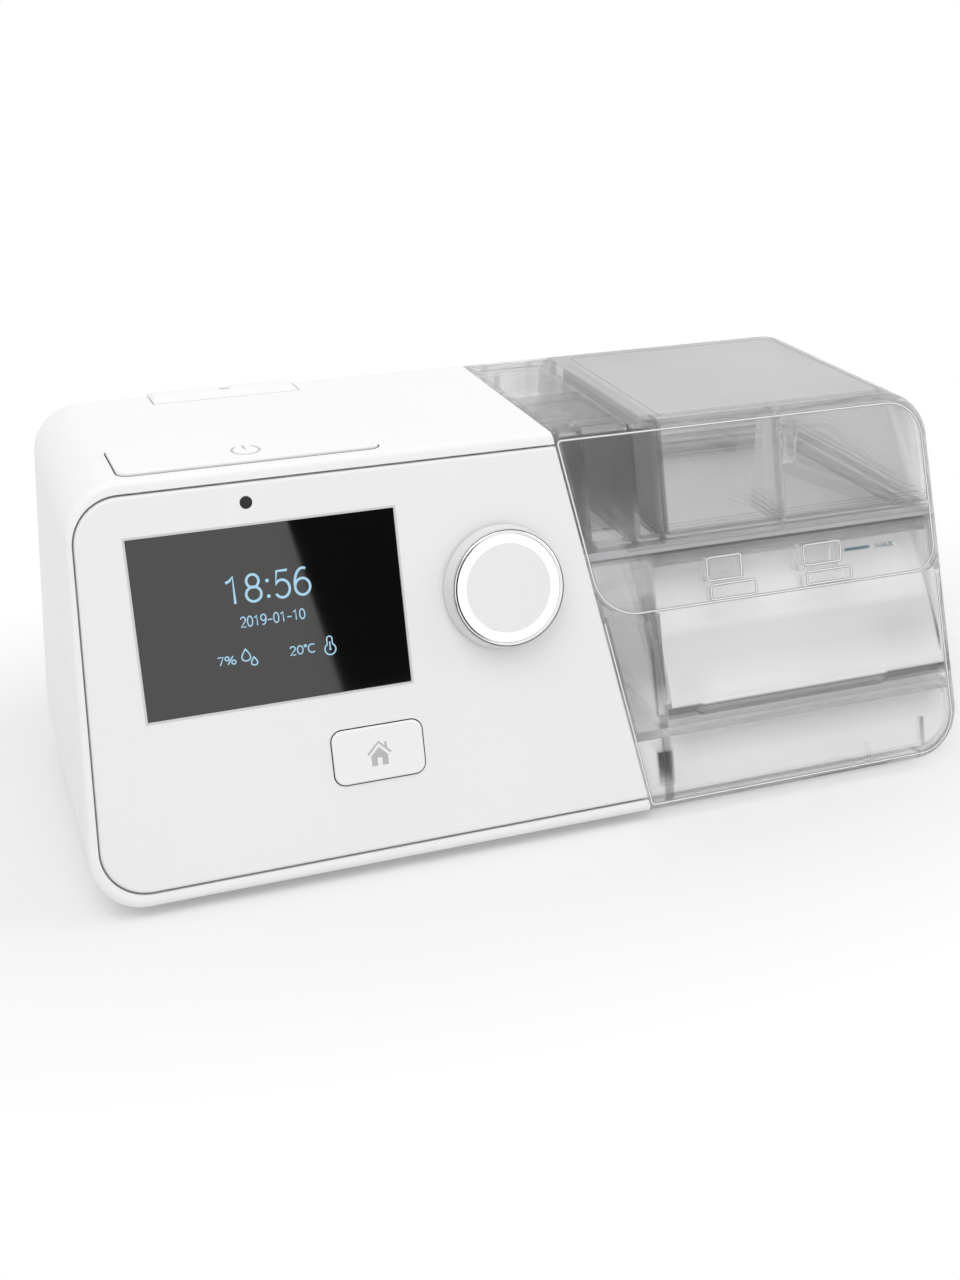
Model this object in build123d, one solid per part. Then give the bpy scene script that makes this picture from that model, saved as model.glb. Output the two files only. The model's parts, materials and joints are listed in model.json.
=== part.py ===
"""CPAP machine: a white housing with a leaning front, and a clear humidifier tank on its right.

Frame: millimetres, X to the right, Y to the back, Z up. The pieces are drawn with Y = 0 at the foot
of the leaning front, and moved at the end so that the origin is at the middle of the underside.
"""
import os
from math import cos, radians, sin, tan

from build123d import *

# ---- outer form ------------------------------------------------------------------------------
HALF_FOOT = 133.25      # half width of the body at its underside
SIDE_LEAN = 3.15        # degrees, each side leans in going up
PLAN_TAPER = 1.2        # degrees, each side closes in going back
UNDERSIDE_Z = 2.9       # underside of the body above the table
TOP_Z = 110.5
BODY_DEPTH = 110.0      # from the foot of the face to the back
FACE_FOOT_Z = 7.4       # height of the lower panel groove
FACE_TILT = 16.6        # degrees, the face leans back
EDGE_R = 14.0           # long edges of the body
REAR_EDGE_R = 8.0       # edge around the back
RIM_R = 2.2             # edge around the face
LOFT_LEAD = 12.0        # how far the outer loft starts in front of the face
REACH = 400.0           # larger than any piece, for cutting blocks

# ---- housing ---------------------------------------------------------------------------------
WALL = 2.5
FRONT_WALL = 5.5        # shell thickness behind the face, which carries the panel
FLOOR_STEP = 1.2        # depth of the recess that holds the base plate
PARTITION_X = 26.0      # wall between housing and tank, at the foot of the face
PARTITION_LEAN = 10.76  # degrees, the partition leans to the left going up
TANK_GAP = 0.4          # between the housing's partition and the tank
FIT = 0.25              # between parts that fit in each other without moving
RUN = 0.35              # between parts that move past each other
SEAT = 0.3              # between a moving part and what it rests on

# ---- base plate ------------------------------------------------------------------------------
BASE_LEFT = -116.0
BASE_RIGHT = 18.0
BASE_FRONT = 12.0
BASE_REAR = 14.0        # from the back to the rear edge of the base plate
BASE_BACK = BODY_DEPTH - BASE_REAR
BASE_R = 8.0
BASE_STEP = 3.0
BASE_TOP_Z = 6.4
PLINTH_LEFT = -62.0
PLINTH_Z = 1.4
POST_R = 3.0

# ---- front panel, in face coordinates: x across, v up the slope, n out of the face -------------
PANEL_T = 3.0
PANEL_LEFT_FOOT = -130.1
PANEL_LEFT_TOP = -125.1
PANEL_HEIGHT = 103.9
PANEL_R = 12.4
GROOVE = 0.5
PANEL_LEDGE = 3.0
PANEL_EDGE_R = 1.0
WINDOW_SINK = 0.1
WINDOW_FIT = 0.1
LCD_W = 75.0
LCD_H = 50.6
CHIPS = (                # x, v, width, height and thickness of each part on the board
    (-90.0, 60.0, 20.0, 20.0, 2.0),
    (-60.0, 66.0, 12.0, 9.0, 1.6),
    (-96.0, 28.0, 16.0, 8.0, 6.0),
    (-30.0, 34.0, 22.0, 7.0, 5.5),
    (-38.0, 76.0, 9.0, 9.0, 1.6),
)

WINDOW_W = 71.9
WINDOW_H = 47.6
WINDOW_X = -77.05
WINDOW_V = 68.8
WINDOW_T = 1.2
WINDOW_LIP = 1.6
WINDOW_BEVEL = 0.5
LCD_T = 3.4
FRAME_W = 5.0

SENSOR_X = -80.6
SENSOR_V = 98.6
SENSOR_R = 1.7

HOME_X = -52.5
HOME_V = 27.0
HOME_W = 25.6
HOME_H = 15.0
HOME_R = 3.0
HOME_PROUD = 0.7
HOME_TRAVEL = 0.8

KNOB_X = -12.35
KNOB_V = 67.3
KNOB_BASE_R = 17.2
KNOB_TOP_R = 16.2
KNOB_H = 5.8
KNOB_SKIRT_T = 1.6
KNOB_TRIM_R = 15.9
LIGHT_RING_R = 15.0
DISC_R = 12.3
KNOB_PUSH = 0.6
SHAFT_R = 3.0
SHAFT_FIT = 0.06
SHAFT_FLAT_L = 3.0
HUB_OUT_R = 5.0
KNOB_WEB_N = 3.2
KNOB_WEB_T = 1.0
TRIM_H = 0.9
PLUNGER_R = 3.9
BUSH_R = 4.9
BUSH_TOP_N = 0.4
ENCODER_GAP = 1.0
ENCODER_FLOOR = 0.8
ENCODER_W = 14.0

BOARD_N = -11.0         # front of the main board, behind the face
BOARD_T = 1.6
BOARD_LEFT = -118.0
BOARD_RIGHT = 3.0
BOARD_LOW = 14.0
BOARD_HIGH = 84.0

# ---- power key on the top -----------------------------------------------------------------------
POWER_X = -76.9
POWER_Y = 45.5
POWER_W = 70.3
POWER_D = 22.6
POWER_R = 3.0
POWER_PROUD = 1.0
POWER_TRAVEL = 0.8
KEY_FLANGE = 2.0        # flange under a key that keeps it in its opening
KEY_FLANGE_T = 1.2
SWITCH_SIZE = 6.0
SWITCH_H = 3.4
STEM_R = 1.6
STEM_GAP = 0.1
KEY_EDGE_R = 0.6
POWER_BOARD_Z = 100.0
POWER_BOARD_W = 90.0
POWER_BOARD_D = 14.0

# ---- air path ----------------------------------------------------------------------------------
AIR_Z = 88.0            # axis of both openings in the partition
AIR_OUT_BACK = 28.0     # opening from the tank to the outlet, from the back
AIR_OUT_Y = BODY_DEPTH - AIR_OUT_BACK
AIR_BORE_R = 8.0
DUCT_T = 1.8
SEAL_T = 2.6
SEAL_SINK = 1.2
SEAL_PROUD = 0.1
PORT_X = -8.0
PORT_PIN_R = 11.0
PORT_LENGTH = 29.0
PORT_FLANGE_R = 14.5
PORT_FLANGE_T = 2.0

BLOWER_X = -52.0
BLOWER_BACK = 40.0      # blower's axis, from the back
BLOWER_Y = BODY_DEPTH - BLOWER_BACK
SPOUT_Y = 20.0          # spout's axis in front of the blower's axis
AIR_IN_Y = BLOWER_Y - SPOUT_Y
BLOWER_H = 20.0
BLOWER_WALL = 2.0
VOLUTE_R = 21.0         # inside radius where the spiral starts
VOLUTE_STEP = 1.5       # growth of the spiral at each quarter turn
SPOUT_L = 9.0
SPOUT_X = 26.0          # end of the square outlet, from the blower's axis
INLET_R = 11.0
IMPELLER_GAP = 1.5
BLADE_T = 1.2
BLADE_SWEEP = 42.0
MOUNT_WAIST_T = 2.6
MOUNT_LIP = 2.5
PEDESTAL_R = 22.0
RIB_PITCH = 4.0
ELBOW_R = 11.5
PORT_INNER = 9.0        # how far the outlet reaches in from the back
PORT_INNER_Y = BODY_DEPTH - PORT_INNER
PORT_CHAMFER = 0.6
IMPELLER_R = 18.5
IMPELLER_H = 11.0
HUB_R = 6.5
BLADES = 9
MOTOR_R = 15.0
MOTOR_H = 26.0
MOTOR_SHAFT_R = 2.0
MOUNT_H = 22.0          # rubber mount between pedestal and blower
MOUNT_R = 21.0
PEDESTAL_T = 2.4

# ---- inlet filter at the rear ---------------------------------------------------------------------
FILTER_X = -69.9
FILTER_W = 43.0
FILTER_LOW = 62.0
COVER_PROUD = 1.1
COVER_T = 2.4
FOAM_T = 7.0

FOAM_W = 32.0
FOAM_LOW = 66.0
COVER_D = 15.0          # how far the filter cover wraps onto the top
COVER_FRONT = BODY_DEPTH - COVER_D
COVER_RAMP = 14.0       # slope of its front edge
COVER_END_RAMP = 45.0
COVER_SLOTS = 6
COVER_PITCH = 4.8
REACH_IN = 6.0
FINGER_X = FILTER_X + 0.5
FINGER_BACK = 9.6       # middle of the finger slot, from the back
FINGER_W = 3.6
FINGER_D = 1.0
FOAM_SINK = 0.3

# ---- sockets at the rear ----------------------------------------------------------------------------
JACK_X = -106.0
JACK_Z = 26.0
JACK_BORE_R = 4.4
JACK_W = 14.0
JACK_D = 12.0
JACK_PIN_R = 1.0
DOOR_X = -106.0
DOOR_Z = 82.0
DOOR_W = 23.0
DOOR_H = 12.0
DOOR_T = 1.4
DOOR_PIN_R = 0.5
DOOR_PIN_L = 1.0
CARD_Z = 89.0
CARD_W = 20.0
CARD_D = 22.0
CARD_H = 3.4
CARD_SLOT_W = 16.0
CARD_SLOT_H = 2.0

# ---- tank ------------------------------------------------------------------------------------------
TANK_WALL = 2.2
SEAM_Z = 74.0           # top of the tub's rim
DECK_T = 4.0            # rim of the tub over the finger scoop
TANK_SEAL_T = 2.0
TRAY_TOP_Z = 20.5
TRAY_GAP = 1.0          # between the tray and the skirt of the tub
TRAY_WALL = 2.2
HEATER_PROUD = 1.8      # heater plate above the tray
HEATER_SINK = 1.2
HEATER_SEAL = 2.0
FOOT_W = 28.0
FOOT_D = 10.0
FOOT_R = 3.0
FOOT_LEFT_X = -100.7
FOOT_FRONT_Y = 16.0
HEATER_W = 74.0
HEATER_D = 56.0
HEATER_X = 76.0
HEATER_BACK = 44.0      # middle of the heater, from the back
HEATER_Y = BODY_DEPTH - HEATER_BACK
HEATER_R = 12.0
METAL_T = 1.2
METAL_RIM = 4.0
FLOOR_T = 2.6
FLAP_LOW_V = 53.5
FLAP_LEFT_R = 14.0
FLAP_RIGHT_R = 7.5
FLAP_GAP = 0.4
SCOOP_LEFT = 34.5
SCOOP_SIDE = 3.2        # clear wall right of the finger scoop
SCOOP_FOOT_Z = 30.7
SCOOP_MID = (17.1, 49.0)     # depth and height on the scoop's curve
SCOOP_HEAD = (31.5, 67.5)
BAR_LEFT = 44.4
BAR_RIGHT = 109.0
BAR_R = 2.6
LEDGE_R = 1.5
REACH_FRONT = 30.0      # how far cutting blocks stand in front of the face
LID_RIB_X = (15.6, 30.6, 39.4, 77.8)
LID_CROSS_Y = (39.4, 64.2)
HOOKS = ((51.0, 63.2, 59.8, 68.0), (81.3, 94.8, 59.0, 67.2))
HINGE_R = 2.4
HINGE_PIN_R = 1.0
HINGE_Z = 75.0
RIB_T = 1.6
RIB_DEPTH = 12.0        # how far the short ribs reach behind the front edge of the top
LID_WALL_GAP = 12.0     # from the lid's inner walls to the back
LID_WALL_BACK = BODY_DEPTH - LID_WALL_GAP
HOOK_GAP = 0.8          # between the flap and the hooks
HOOK_T = 1.8
HOOK_BAR = 1.6
CATCH_GAP = 1.6
CATCH_BITE = 0.4        # how far a catch reaches under its hook
CATCH_H = 4.0
SEAL_EDGE = 0.3
METAL_W = 84.0
METAL_D = 66.0
HINGE_X = (52.0, 96.0)
KNUCKLE_L = 6.0
FLANGE_W = 3.0          # flanges inside the seam of tub and lid
TUB_FLANGE_T = 1.4
LID_FLANGE_T = 2.0
TAB_X = 81.8            # short tab under the top of the lid
TAB_W = 3.6
TAB_Y = 31.0
TAB_LOW = 93.0
GUSSET_X = 118.0        # slanted rib in the lid's right front corner, at its top
GUSSET_LEAN = 15.0
GUSSET_W = 1.6
GUSSET_D = 4.0
SLOT_X = 33.8           # slot in the front wall of the tray
SLOT_W = 5.0
SLOT_LOW_Z = 8.4
SLOT_MOUTH = 1.8
TONGUE_X = 34.3         # rounded rib inside the skirt of the tub, in front of the slot
TONGUE_W = 2.2
TONGUE_LOW_V = 6.5
SLIT_X = 120.7          # slit near the right end of the tray's front
SLIT_W = 1.4
SLIT_TOP_Z = 14.7
NIB_X = 100.9           # gate mark on the lower edge of the skirt
NIB_W = 0.9
NIB_V = (-2.6, 3.8)

ON_FOOT = (Align.CENTER, Align.CENTER, Align.MIN)

FACE = Plane(
    origin=(0, 0, FACE_FOOT_Z),
    x_dir=(1, 0, 0),
    z_dir=(0, -cos(radians(FACE_TILT)), sin(radians(FACE_TILT))),
)
PARTITION = Plane(
    origin=(PARTITION_X, 0, FACE_FOOT_Z),
    x_dir=(0, 1, 0),
    z_dir=(cos(radians(PARTITION_LEAN)), 0, sin(radians(PARTITION_LEAN))),
)
LEAN = tan(radians(SIDE_LEAN))
TAPER = tan(radians(PLAN_TAPER))


def above(plane, offset=0.0):
    """Block on the outer side of a plane, from the offset on."""
    return plane * Pos(0, 0, offset + REACH / 2) * Box(REACH, REACH, REACH)


def below(plane, offset=0.0):
    """Block on the inner side of a plane, up to the offset."""
    return plane * Pos(0, 0, offset - REACH / 2) * Box(REACH, REACH, REACH)


def layer(low, high):
    """Horizontal slab between two heights."""
    return Pos(0, 0, (low + high) / 2) * Box(REACH, REACH, high - low)


def block(x0, x1, y0, y1, z0, z1):
    """Box between two corners."""
    return Pos((x0 + x1) / 2, (y0 + y1) / 2, (z0 + z1) / 2) * Box(x1 - x0, y1 - y0, z1 - z0)


def face_block(x0, x1, v0, v1, n0, n1):
    """Box between two corners in face coordinates."""
    return FACE * block(x0, x1, v0, v1, n0, n1)


def half_width(z, y=0.0):
    """Half width of the outer form at a height and depth."""
    return HALF_FOOT - LEAN * (z - UNDERSIDE_Z) - TAPER * y


def face_y(z):
    """Depth of the face at a height."""
    return (z - FACE_FOOT_Z) * tan(radians(FACE_TILT))


def face_v(z, n=0.0):
    """Distance up the slope at a height, in a plane n out of the face."""
    return (z - FACE_FOOT_Z - n * sin(radians(FACE_TILT))) / cos(radians(FACE_TILT))


def partition_x(z):
    """Place of the partition at a height."""
    return PARTITION_X - (z - FACE_FOOT_Z) * tan(radians(PARTITION_LEAN))


def cross_section(y, inset):
    """Rounded trapezoid of the body across its width, drawn in by the inset."""
    low = UNDERSIDE_Z + inset
    high = TOP_Z - inset
    foot = half_width(low, y) - inset
    head = half_width(high, y) - inset
    plane = Plane(origin=(0, y, 0), x_dir=(1, 0, 0), z_dir=(0, -1, 0))
    shape = Polygon((-foot, low), (foot, low), (head, high), (-head, high), align=None)
    return plane * fillet(shape.vertices(), EDGE_R - inset)


def outer_form(inset=0.0, face_inset=None, rounded=True):
    """The whole body as one block, drawn in by the inset; the face may be drawn in by its own."""
    face_inset = inset if face_inset is None else face_inset
    back = BODY_DEPTH - inset
    form = loft([cross_section(-LOFT_LEAD, inset), cross_section(back, inset)], ruled=True)
    form = form - above(FACE, -face_inset)
    if rounded:
        rear = form.faces().sort_by(Axis.Y)[-1].edges()
        form = fillet(rear, REAR_EDGE_R - inset)
    if rounded and inset == 0.0:
        front = form.faces().sort_by(lambda f: f.center().dot(FACE.z_dir))[-1].edges()
        form = fillet(front, RIM_R)
    return form


# ================================ housing ===========================================================

def panel_blank(grow, n0, n1):
    """Slab with the outline of the front panel, grown all round."""
    right = 2 * PARTITION_X
    shape = Polygon(
        (PANEL_LEFT_FOOT - grow, -grow),
        (right, -grow),
        (right, PANEL_HEIGHT + grow),
        (PANEL_LEFT_TOP - grow, PANEL_HEIGHT + grow),
        align=None,
    )
    corners = shape.vertices().sort_by(Axis.X)[:2]
    shape = fillet(corners, PANEL_R + grow)
    return FACE * Pos(0, 0, n0) * extrude(shape, n1 - n0)


def rounded_slab(width, depth, radius, low, high):
    """Upright slab with rounded corners, centred on the axis."""
    return Pos(0, 0, low) * extrude(RectangleRounded(width, depth, radius), high - low)


def base_slab(grow, low, high):
    """Slab with the outline of the base plate, grown all round."""
    width = BASE_RIGHT - BASE_LEFT + 2 * grow
    depth = BASE_BACK - BASE_FRONT + 2 * grow
    place = Pos((BASE_LEFT + BASE_RIGHT) / 2, (BASE_FRONT + BASE_BACK) / 2, 0)
    return place * rounded_slab(width, depth, BASE_R + grow, low, high)


def rear_tube(x, z, radius, y0, y1):
    """Round bar along Y."""
    return Pos(x, y0, z) * Rot(-90, 0, 0) * Cylinder(radius, y1 - y0, align=ON_FOOT)


def side_tube(y, z, radius, x0, x1):
    """Round bar along X."""
    return Pos(x0, y, z) * Rot(0, 90, 0) * Cylinder(radius, x1 - x0, align=ON_FOOT)


def power_place():
    return Pos(POWER_X, POWER_Y, 0)


def home_place():
    return FACE * Pos(HOME_X, HOME_V, 0)


def knob_place():
    return FACE * Pos(KNOB_X, KNOB_V, 0)


def cover_zone(gap):
    """Space of the filter cover on the rear top edge, with a gap around it."""
    half = FILTER_W / 2 + gap
    return block(FILTER_X - half, FILTER_X + half, COVER_FRONT - gap, REACH, FILTER_LOW - gap, REACH)


def main_shell():
    outer = outer_form() & below(PARTITION)
    cavity = outer_form(WALL, FRONT_WALL) & below(PARTITION, -WALL)
    shell = outer - cavity
    shell -= panel_blank(GROOVE, -PANEL_T, REACH / 2)
    opening = panel_blank(-PANEL_LEDGE, -2 * FRONT_WALL, 0) & below(PARTITION, -WALL)
    shell -= opening
    shell -= base_slab(0, -REACH, UNDERSIDE_Z + 2 * WALL)
    shell -= base_slab(BASE_STEP, -REACH, UNDERSIDE_Z + FLOOR_STEP)
    key = rounded_slab(POWER_W + 2 * RUN, POWER_D + 2 * RUN, POWER_R + RUN, TOP_Z - 2 * WALL, REACH)
    shell -= power_place() * key
    shell -= power_place() * power_flange(RUN, TOP_Z - 2.5 * WALL, TOP_Z - WALL)
    shell -= cover_zone(RUN) - outer_form(COVER_T - COVER_PROUD + FIT)
    shell -= block(
        FILTER_X - FOAM_W / 2 - FIT, FILTER_X + FOAM_W / 2 + FIT,
        BODY_DEPTH - 2 * WALL, REACH, FOAM_LOW - FIT, FOAM_LOW + FOAM_W + FIT,
    )
    shell -= rear_tube(PORT_X, AIR_Z, PORT_PIN_R + FIT, BODY_DEPTH - 2 * WALL, REACH)
    shell -= rear_tube(JACK_X, JACK_Z, JACK_BORE_R + FIT, BODY_DEPTH - 2 * WALL, REACH)
    shell -= door_recess()
    for y in (AIR_IN_Y, AIR_OUT_Y):
        shell -= side_tube(y, AIR_Z, AIR_BORE_R, partition_x(AIR_Z) - 3 * WALL, REACH)
        recess = side_tube(y, AIR_Z, AIR_BORE_R + SEAL_T, 0, REACH) & above(PARTITION, -SEAL_SINK)
        shell -= recess
    for side in (-1, 1):
        x = POWER_X + side * (POWER_BOARD_W / 2 - POST_R)
        post = Pos(x, POWER_Y, POWER_BOARD_Z + BOARD_T) * Cylinder(
            POST_R, TOP_Z - WALL - POWER_BOARD_Z, align=ON_FOOT)
        shell += post & outer_form(WALL / 2)
    return shell


def front_panel():
    panel = panel_blank(0, -PANEL_T, 0)
    front = panel.faces().sort_by(lambda f: f.center().dot(FACE.z_dir))[-1].edges()
    panel = fillet(front, PANEL_EDGE_R)
    panel = panel & below(PARTITION)
    window = FACE * Pos(WINDOW_X, WINDOW_V, 0)
    depth = WINDOW_T + WINDOW_SINK
    pocket = window * Pos(0, 0, -depth) * extrude(Rectangle(WINDOW_W, WINDOW_H), 2 * depth)
    bevel = window * Pos(0, 0, -WINDOW_BEVEL) * loft([
        Rectangle(WINDOW_W, WINDOW_H),
        Pos(0, 0, 2 * WINDOW_BEVEL) * Rectangle(WINDOW_W + 4 * WINDOW_BEVEL, WINDOW_H + 4 * WINDOW_BEVEL),
    ])
    view = window * Box(WINDOW_W - 2 * WINDOW_LIP, WINDOW_H - 2 * WINDOW_LIP, 4 * PANEL_T)
    panel = panel - pocket - bevel - view
    home = RectangleRounded(HOME_W + 2 * RUN, HOME_H + 2 * RUN, HOME_R + RUN)
    panel -= home_place() * Pos(0, 0, -2 * PANEL_T) * extrude(home, 4 * PANEL_T)
    panel -= knob_place() * Cylinder(BUSH_R + FIT, 4 * PANEL_T)
    panel -= FACE * Pos(SENSOR_X, SENSOR_V, 0) * Cylinder(SENSOR_R, 4 * PANEL_T)
    length = -PANEL_T - BOARD_N
    left = BOARD_LEFT + 2 * POST_R
    right = BOARD_RIGHT - 2 * POST_R
    low = BOARD_LOW + POST_R
    for x, v in ((left, low), (right, low), (right, BOARD_HIGH - POST_R)):
        panel += FACE * Pos(x, v, BOARD_N) * Cylinder(POST_R, length, align=ON_FOOT)
    return panel


def base_plate():
    plate = base_slab(BASE_STEP - FIT, UNDERSIDE_Z, UNDERSIDE_Z + FLOOR_STEP)
    plate += base_slab(-FIT, UNDERSIDE_Z + FLOOR_STEP, BASE_TOP_Z)
    plinth = block(PLINTH_LEFT, BASE_RIGHT, BASE_FRONT, BASE_BACK, PLINTH_Z, UNDERSIDE_Z)
    return plate + plinth


def display_window():
    place = FACE * Pos(WINDOW_X, WINDOW_V, -WINDOW_T - WINDOW_SINK)
    return place * extrude(Rectangle(WINDOW_W - 2 * WINDOW_FIT, WINDOW_H - 2 * WINDOW_FIT), WINDOW_T)


def lcd_module():
    place = FACE * Pos(WINDOW_X, WINDOW_V, -PANEL_T - LCD_T)
    return place * extrude(Rectangle(LCD_W, LCD_H), LCD_T)


def display_frame():
    """Frame behind the panel that holds the screen and carries the main board."""
    depth = -PANEL_T - BOARD_N
    place = FACE * Pos(WINDOW_X, WINDOW_V, BOARD_N)
    frame = place * extrude(RectangleRounded(LCD_W + 2 * FRAME_W, LCD_H + 2 * FRAME_W, POST_R), depth)
    pocket = extrude(Rectangle(LCD_W + 2 * FIT, LCD_H + 2 * FIT), depth)
    frame -= place * Pos(0, 0, depth - LCD_T) * pocket
    frame -= place * extrude(Rectangle(LCD_W - 2 * FRAME_W, LCD_H - 2 * FRAME_W), depth)
    return frame


def light_sensor():
    return FACE * Pos(SENSOR_X, SENSOR_V, -PANEL_T) * Cylinder(
        SENSOR_R - FIT / 2, PANEL_T - WINDOW_SINK, align=ON_FOOT)


def main_board():
    return face_block(BOARD_LEFT, BOARD_RIGHT, BOARD_LOW, BOARD_HIGH, BOARD_N - BOARD_T, BOARD_N)


def board_components():
    """Chips and connectors on the back of the main board."""
    pieces = []
    top = BOARD_N - BOARD_T
    for x, v, width, height, thick in CHIPS:
        pieces.append(face_block(x - width / 2, x + width / 2, v - height / 2, v + height / 2,
                                 top - thick, top))
    return pieces


def tact_switch():
    """Small square switch standing on its foot."""
    body = Pos(0, 0, SWITCH_H / 3) * Box(SWITCH_SIZE, SWITCH_SIZE, 2 * SWITCH_H / 3)
    plunger = Pos(0, 0, SWITCH_H / 2) * Cylinder(SWITCH_SIZE / 4, SWITCH_H / 2, align=ON_FOOT)
    return body + plunger


def button_switches():
    home = home_place() * Pos(0, 0, BOARD_N) * tact_switch()
    power = power_place() * Pos(0, 0, POWER_BOARD_Z + BOARD_T) * tact_switch()
    return [home, power]


def power_board():
    return power_place() * Pos(0, 0, POWER_BOARD_Z + BOARD_T / 2) * Box(POWER_BOARD_W, POWER_BOARD_D, BOARD_T)


def home_button():
    """Key cap with a flange behind the panel and a stem to its switch, in one piece."""
    flange_top = -PANEL_T - SEAT
    cap = Pos(0, 0, flange_top) * extrude(RectangleRounded(HOME_W, HOME_H, HOME_R), HOME_PROUD - flange_top)
    cap = fillet(cap.faces().sort_by(Axis.Z)[-1].edges(), KEY_EDGE_R)
    flange = RectangleRounded(HOME_W + 2 * KEY_FLANGE, HOME_H + 2 * KEY_FLANGE, HOME_R + KEY_FLANGE)
    cap += Pos(0, 0, flange_top - KEY_FLANGE_T) * extrude(flange, KEY_FLANGE_T)
    stem_foot = BOARD_N + SWITCH_H + HOME_TRAVEL + STEM_GAP
    cap += Pos(0, 0, stem_foot) * Cylinder(STEM_R, flange_top - KEY_FLANGE_T - stem_foot, align=ON_FOOT)
    return home_place() * cap


def power_flange(gap, low, high):
    """Flange of the power key, on its sides and its rear; the gap grows it all round."""
    width = POWER_W + 2 * KEY_FLANGE + 2 * gap
    depth = POWER_D + KEY_FLANGE + 2 * gap
    return Pos(0, KEY_FLANGE / 2, 0) * rounded_slab(width, depth, POWER_R + gap, low, high)


def power_button():
    """Bar key in the top with a flange under the shell and a stem to its switch, in one piece."""
    flange_top = TOP_Z - WALL - SEAT
    cap = rounded_slab(POWER_W, POWER_D, POWER_R, flange_top, TOP_Z + POWER_PROUD)
    cap = fillet(cap.faces().sort_by(Axis.Z)[-1].edges(), KEY_EDGE_R)
    cap += power_flange(0, flange_top - KEY_FLANGE_T, flange_top)
    stem_foot = POWER_BOARD_Z + BOARD_T + SWITCH_H + POWER_TRAVEL + STEM_GAP
    cap += Pos(0, 0, stem_foot) * Cylinder(STEM_R, flange_top - KEY_FLANGE_T - stem_foot, align=ON_FOOT)
    return power_place() * cap


# ================================ control knob =======================================================

def ring(outer, inner, low, high):
    """Flat ring on the axis; the inner radius may be zero."""
    body = Pos(0, 0, low) * Cylinder(outer, high - low, align=ON_FOOT)
    if inner > 0:
        body -= Pos(0, 0, low - 1) * Cylinder(inner, high - low + 2, align=ON_FOOT)
    return body


def encoder_body():
    """Encoder on the main board with a threaded bush through the panel."""
    head = -PANEL_T - ENCODER_GAP
    body = Pos(0, 0, (BOARD_N + head) / 2) * Box(ENCODER_W, ENCODER_W, head - BOARD_N)
    body += ring(BUSH_R, 0, head, BUSH_TOP_N)
    body -= ring(PLUNGER_R + FIT, 0, BOARD_N + ENCODER_FLOOR, REACH / 4)
    return knob_place() * body


def encoder_plunger():
    """Sleeve that moves in when the knob is pushed and carries the turning shaft."""
    low = BOARD_N + ENCODER_FLOOR + KNOB_PUSH + STEM_GAP
    return knob_place() * ring(PLUNGER_R, SHAFT_R + SHAFT_FIT, low, BUSH_TOP_N)


def knob_shaft():
    low = BOARD_N + ENCODER_FLOOR + KNOB_PUSH + STEM_GAP
    shaft = ring(SHAFT_R, 0, low, KNOB_WEB_N)
    flat = Pos(SHAFT_R, 0, KNOB_WEB_N) * Box(SHAFT_R, 2 * SHAFT_R, 2 * SHAFT_FLAT_L)
    return knob_place() * (shaft - flat)


def knob_body():
    """Tapered skirt with a web that carries the light ring and the disc, and a hub for the shaft."""
    foot = KNOB_PUSH + RUN
    hub_foot = BUSH_TOP_N + KNOB_PUSH + RUN
    web_top = KNOB_WEB_N + KNOB_WEB_T
    rim_top = KNOB_H - TRIM_H
    profile = Polyline(
        (SHAFT_R, KNOB_WEB_N), (0, KNOB_WEB_N), (0, web_top), (LIGHT_RING_R, web_top),
        (LIGHT_RING_R, rim_top), (KNOB_TOP_R, rim_top), (KNOB_BASE_R, foot),
        (KNOB_BASE_R - KNOB_SKIRT_T, foot), (KNOB_TOP_R - KNOB_SKIRT_T - TRIM_H, KNOB_WEB_N),
        (HUB_OUT_R, KNOB_WEB_N), (HUB_OUT_R, hub_foot), (SHAFT_R, hub_foot), close=True,
    )
    body = revolve(Plane.XZ * make_face(profile), Axis.Z)
    return knob_place() * body


def knob_trim_ring():
    rim = ring(KNOB_TRIM_R, LIGHT_RING_R, KNOB_H - TRIM_H, KNOB_H)
    edge = rim.edges().filter_by(GeomType.CIRCLE).group_by(Axis.Z)[-1].sort_by(SortBy.RADIUS)[-1]
    return knob_place() * fillet(edge, TRIM_H / 2)


def knob_light_ring():
    web_top = KNOB_WEB_N + KNOB_WEB_T
    return knob_place() * ring(LIGHT_RING_R - SHAFT_FIT, DISC_R, web_top, KNOB_H - TRIM_H / 2)


def knob_disc():
    web_top = KNOB_WEB_N + KNOB_WEB_T
    disc = ring(DISC_R - SHAFT_FIT, 0, web_top, KNOB_H - TRIM_H / 2)
    edge = disc.edges().filter_by(GeomType.CIRCLE).group_by(Axis.Z)[-1]
    return knob_place() * fillet(edge, SHAFT_FIT * 2)


# ================================ blower and air path ================================================

def blower_place(z=0.0):
    return Pos(BLOWER_X, BLOWER_Y, z)


def blower_low():
    return AIR_Z - BLOWER_H / 2


def volute_outline(grow):
    """Spiral of four tangent quarter turns that opens into a straight outlet."""
    step = VOLUTE_STEP
    radius = VOLUTE_R + grow
    centres = ((0, 0), (-step, 0), (-step, -step), (0, -step))
    edges = []
    for turn, (x, y) in enumerate(centres):
        arc_radius = radius + turn * step
        edges.append(CenterArc((x, y), arc_radius, -90 + 90 * turn, 90))
    edges.append(Line(edges[-1] @ 1, edges[0] @ 0))
    spiral = make_face(edges)
    low = -(radius + 4 * step)
    high = AIR_IN_Y - BLOWER_Y + AIR_BORE_R + grow
    outlet = Pos((SPOUT_X + grow) / 2, (low + high) / 2) * Rectangle(SPOUT_X + grow, high - low)
    return spiral + outlet


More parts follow.
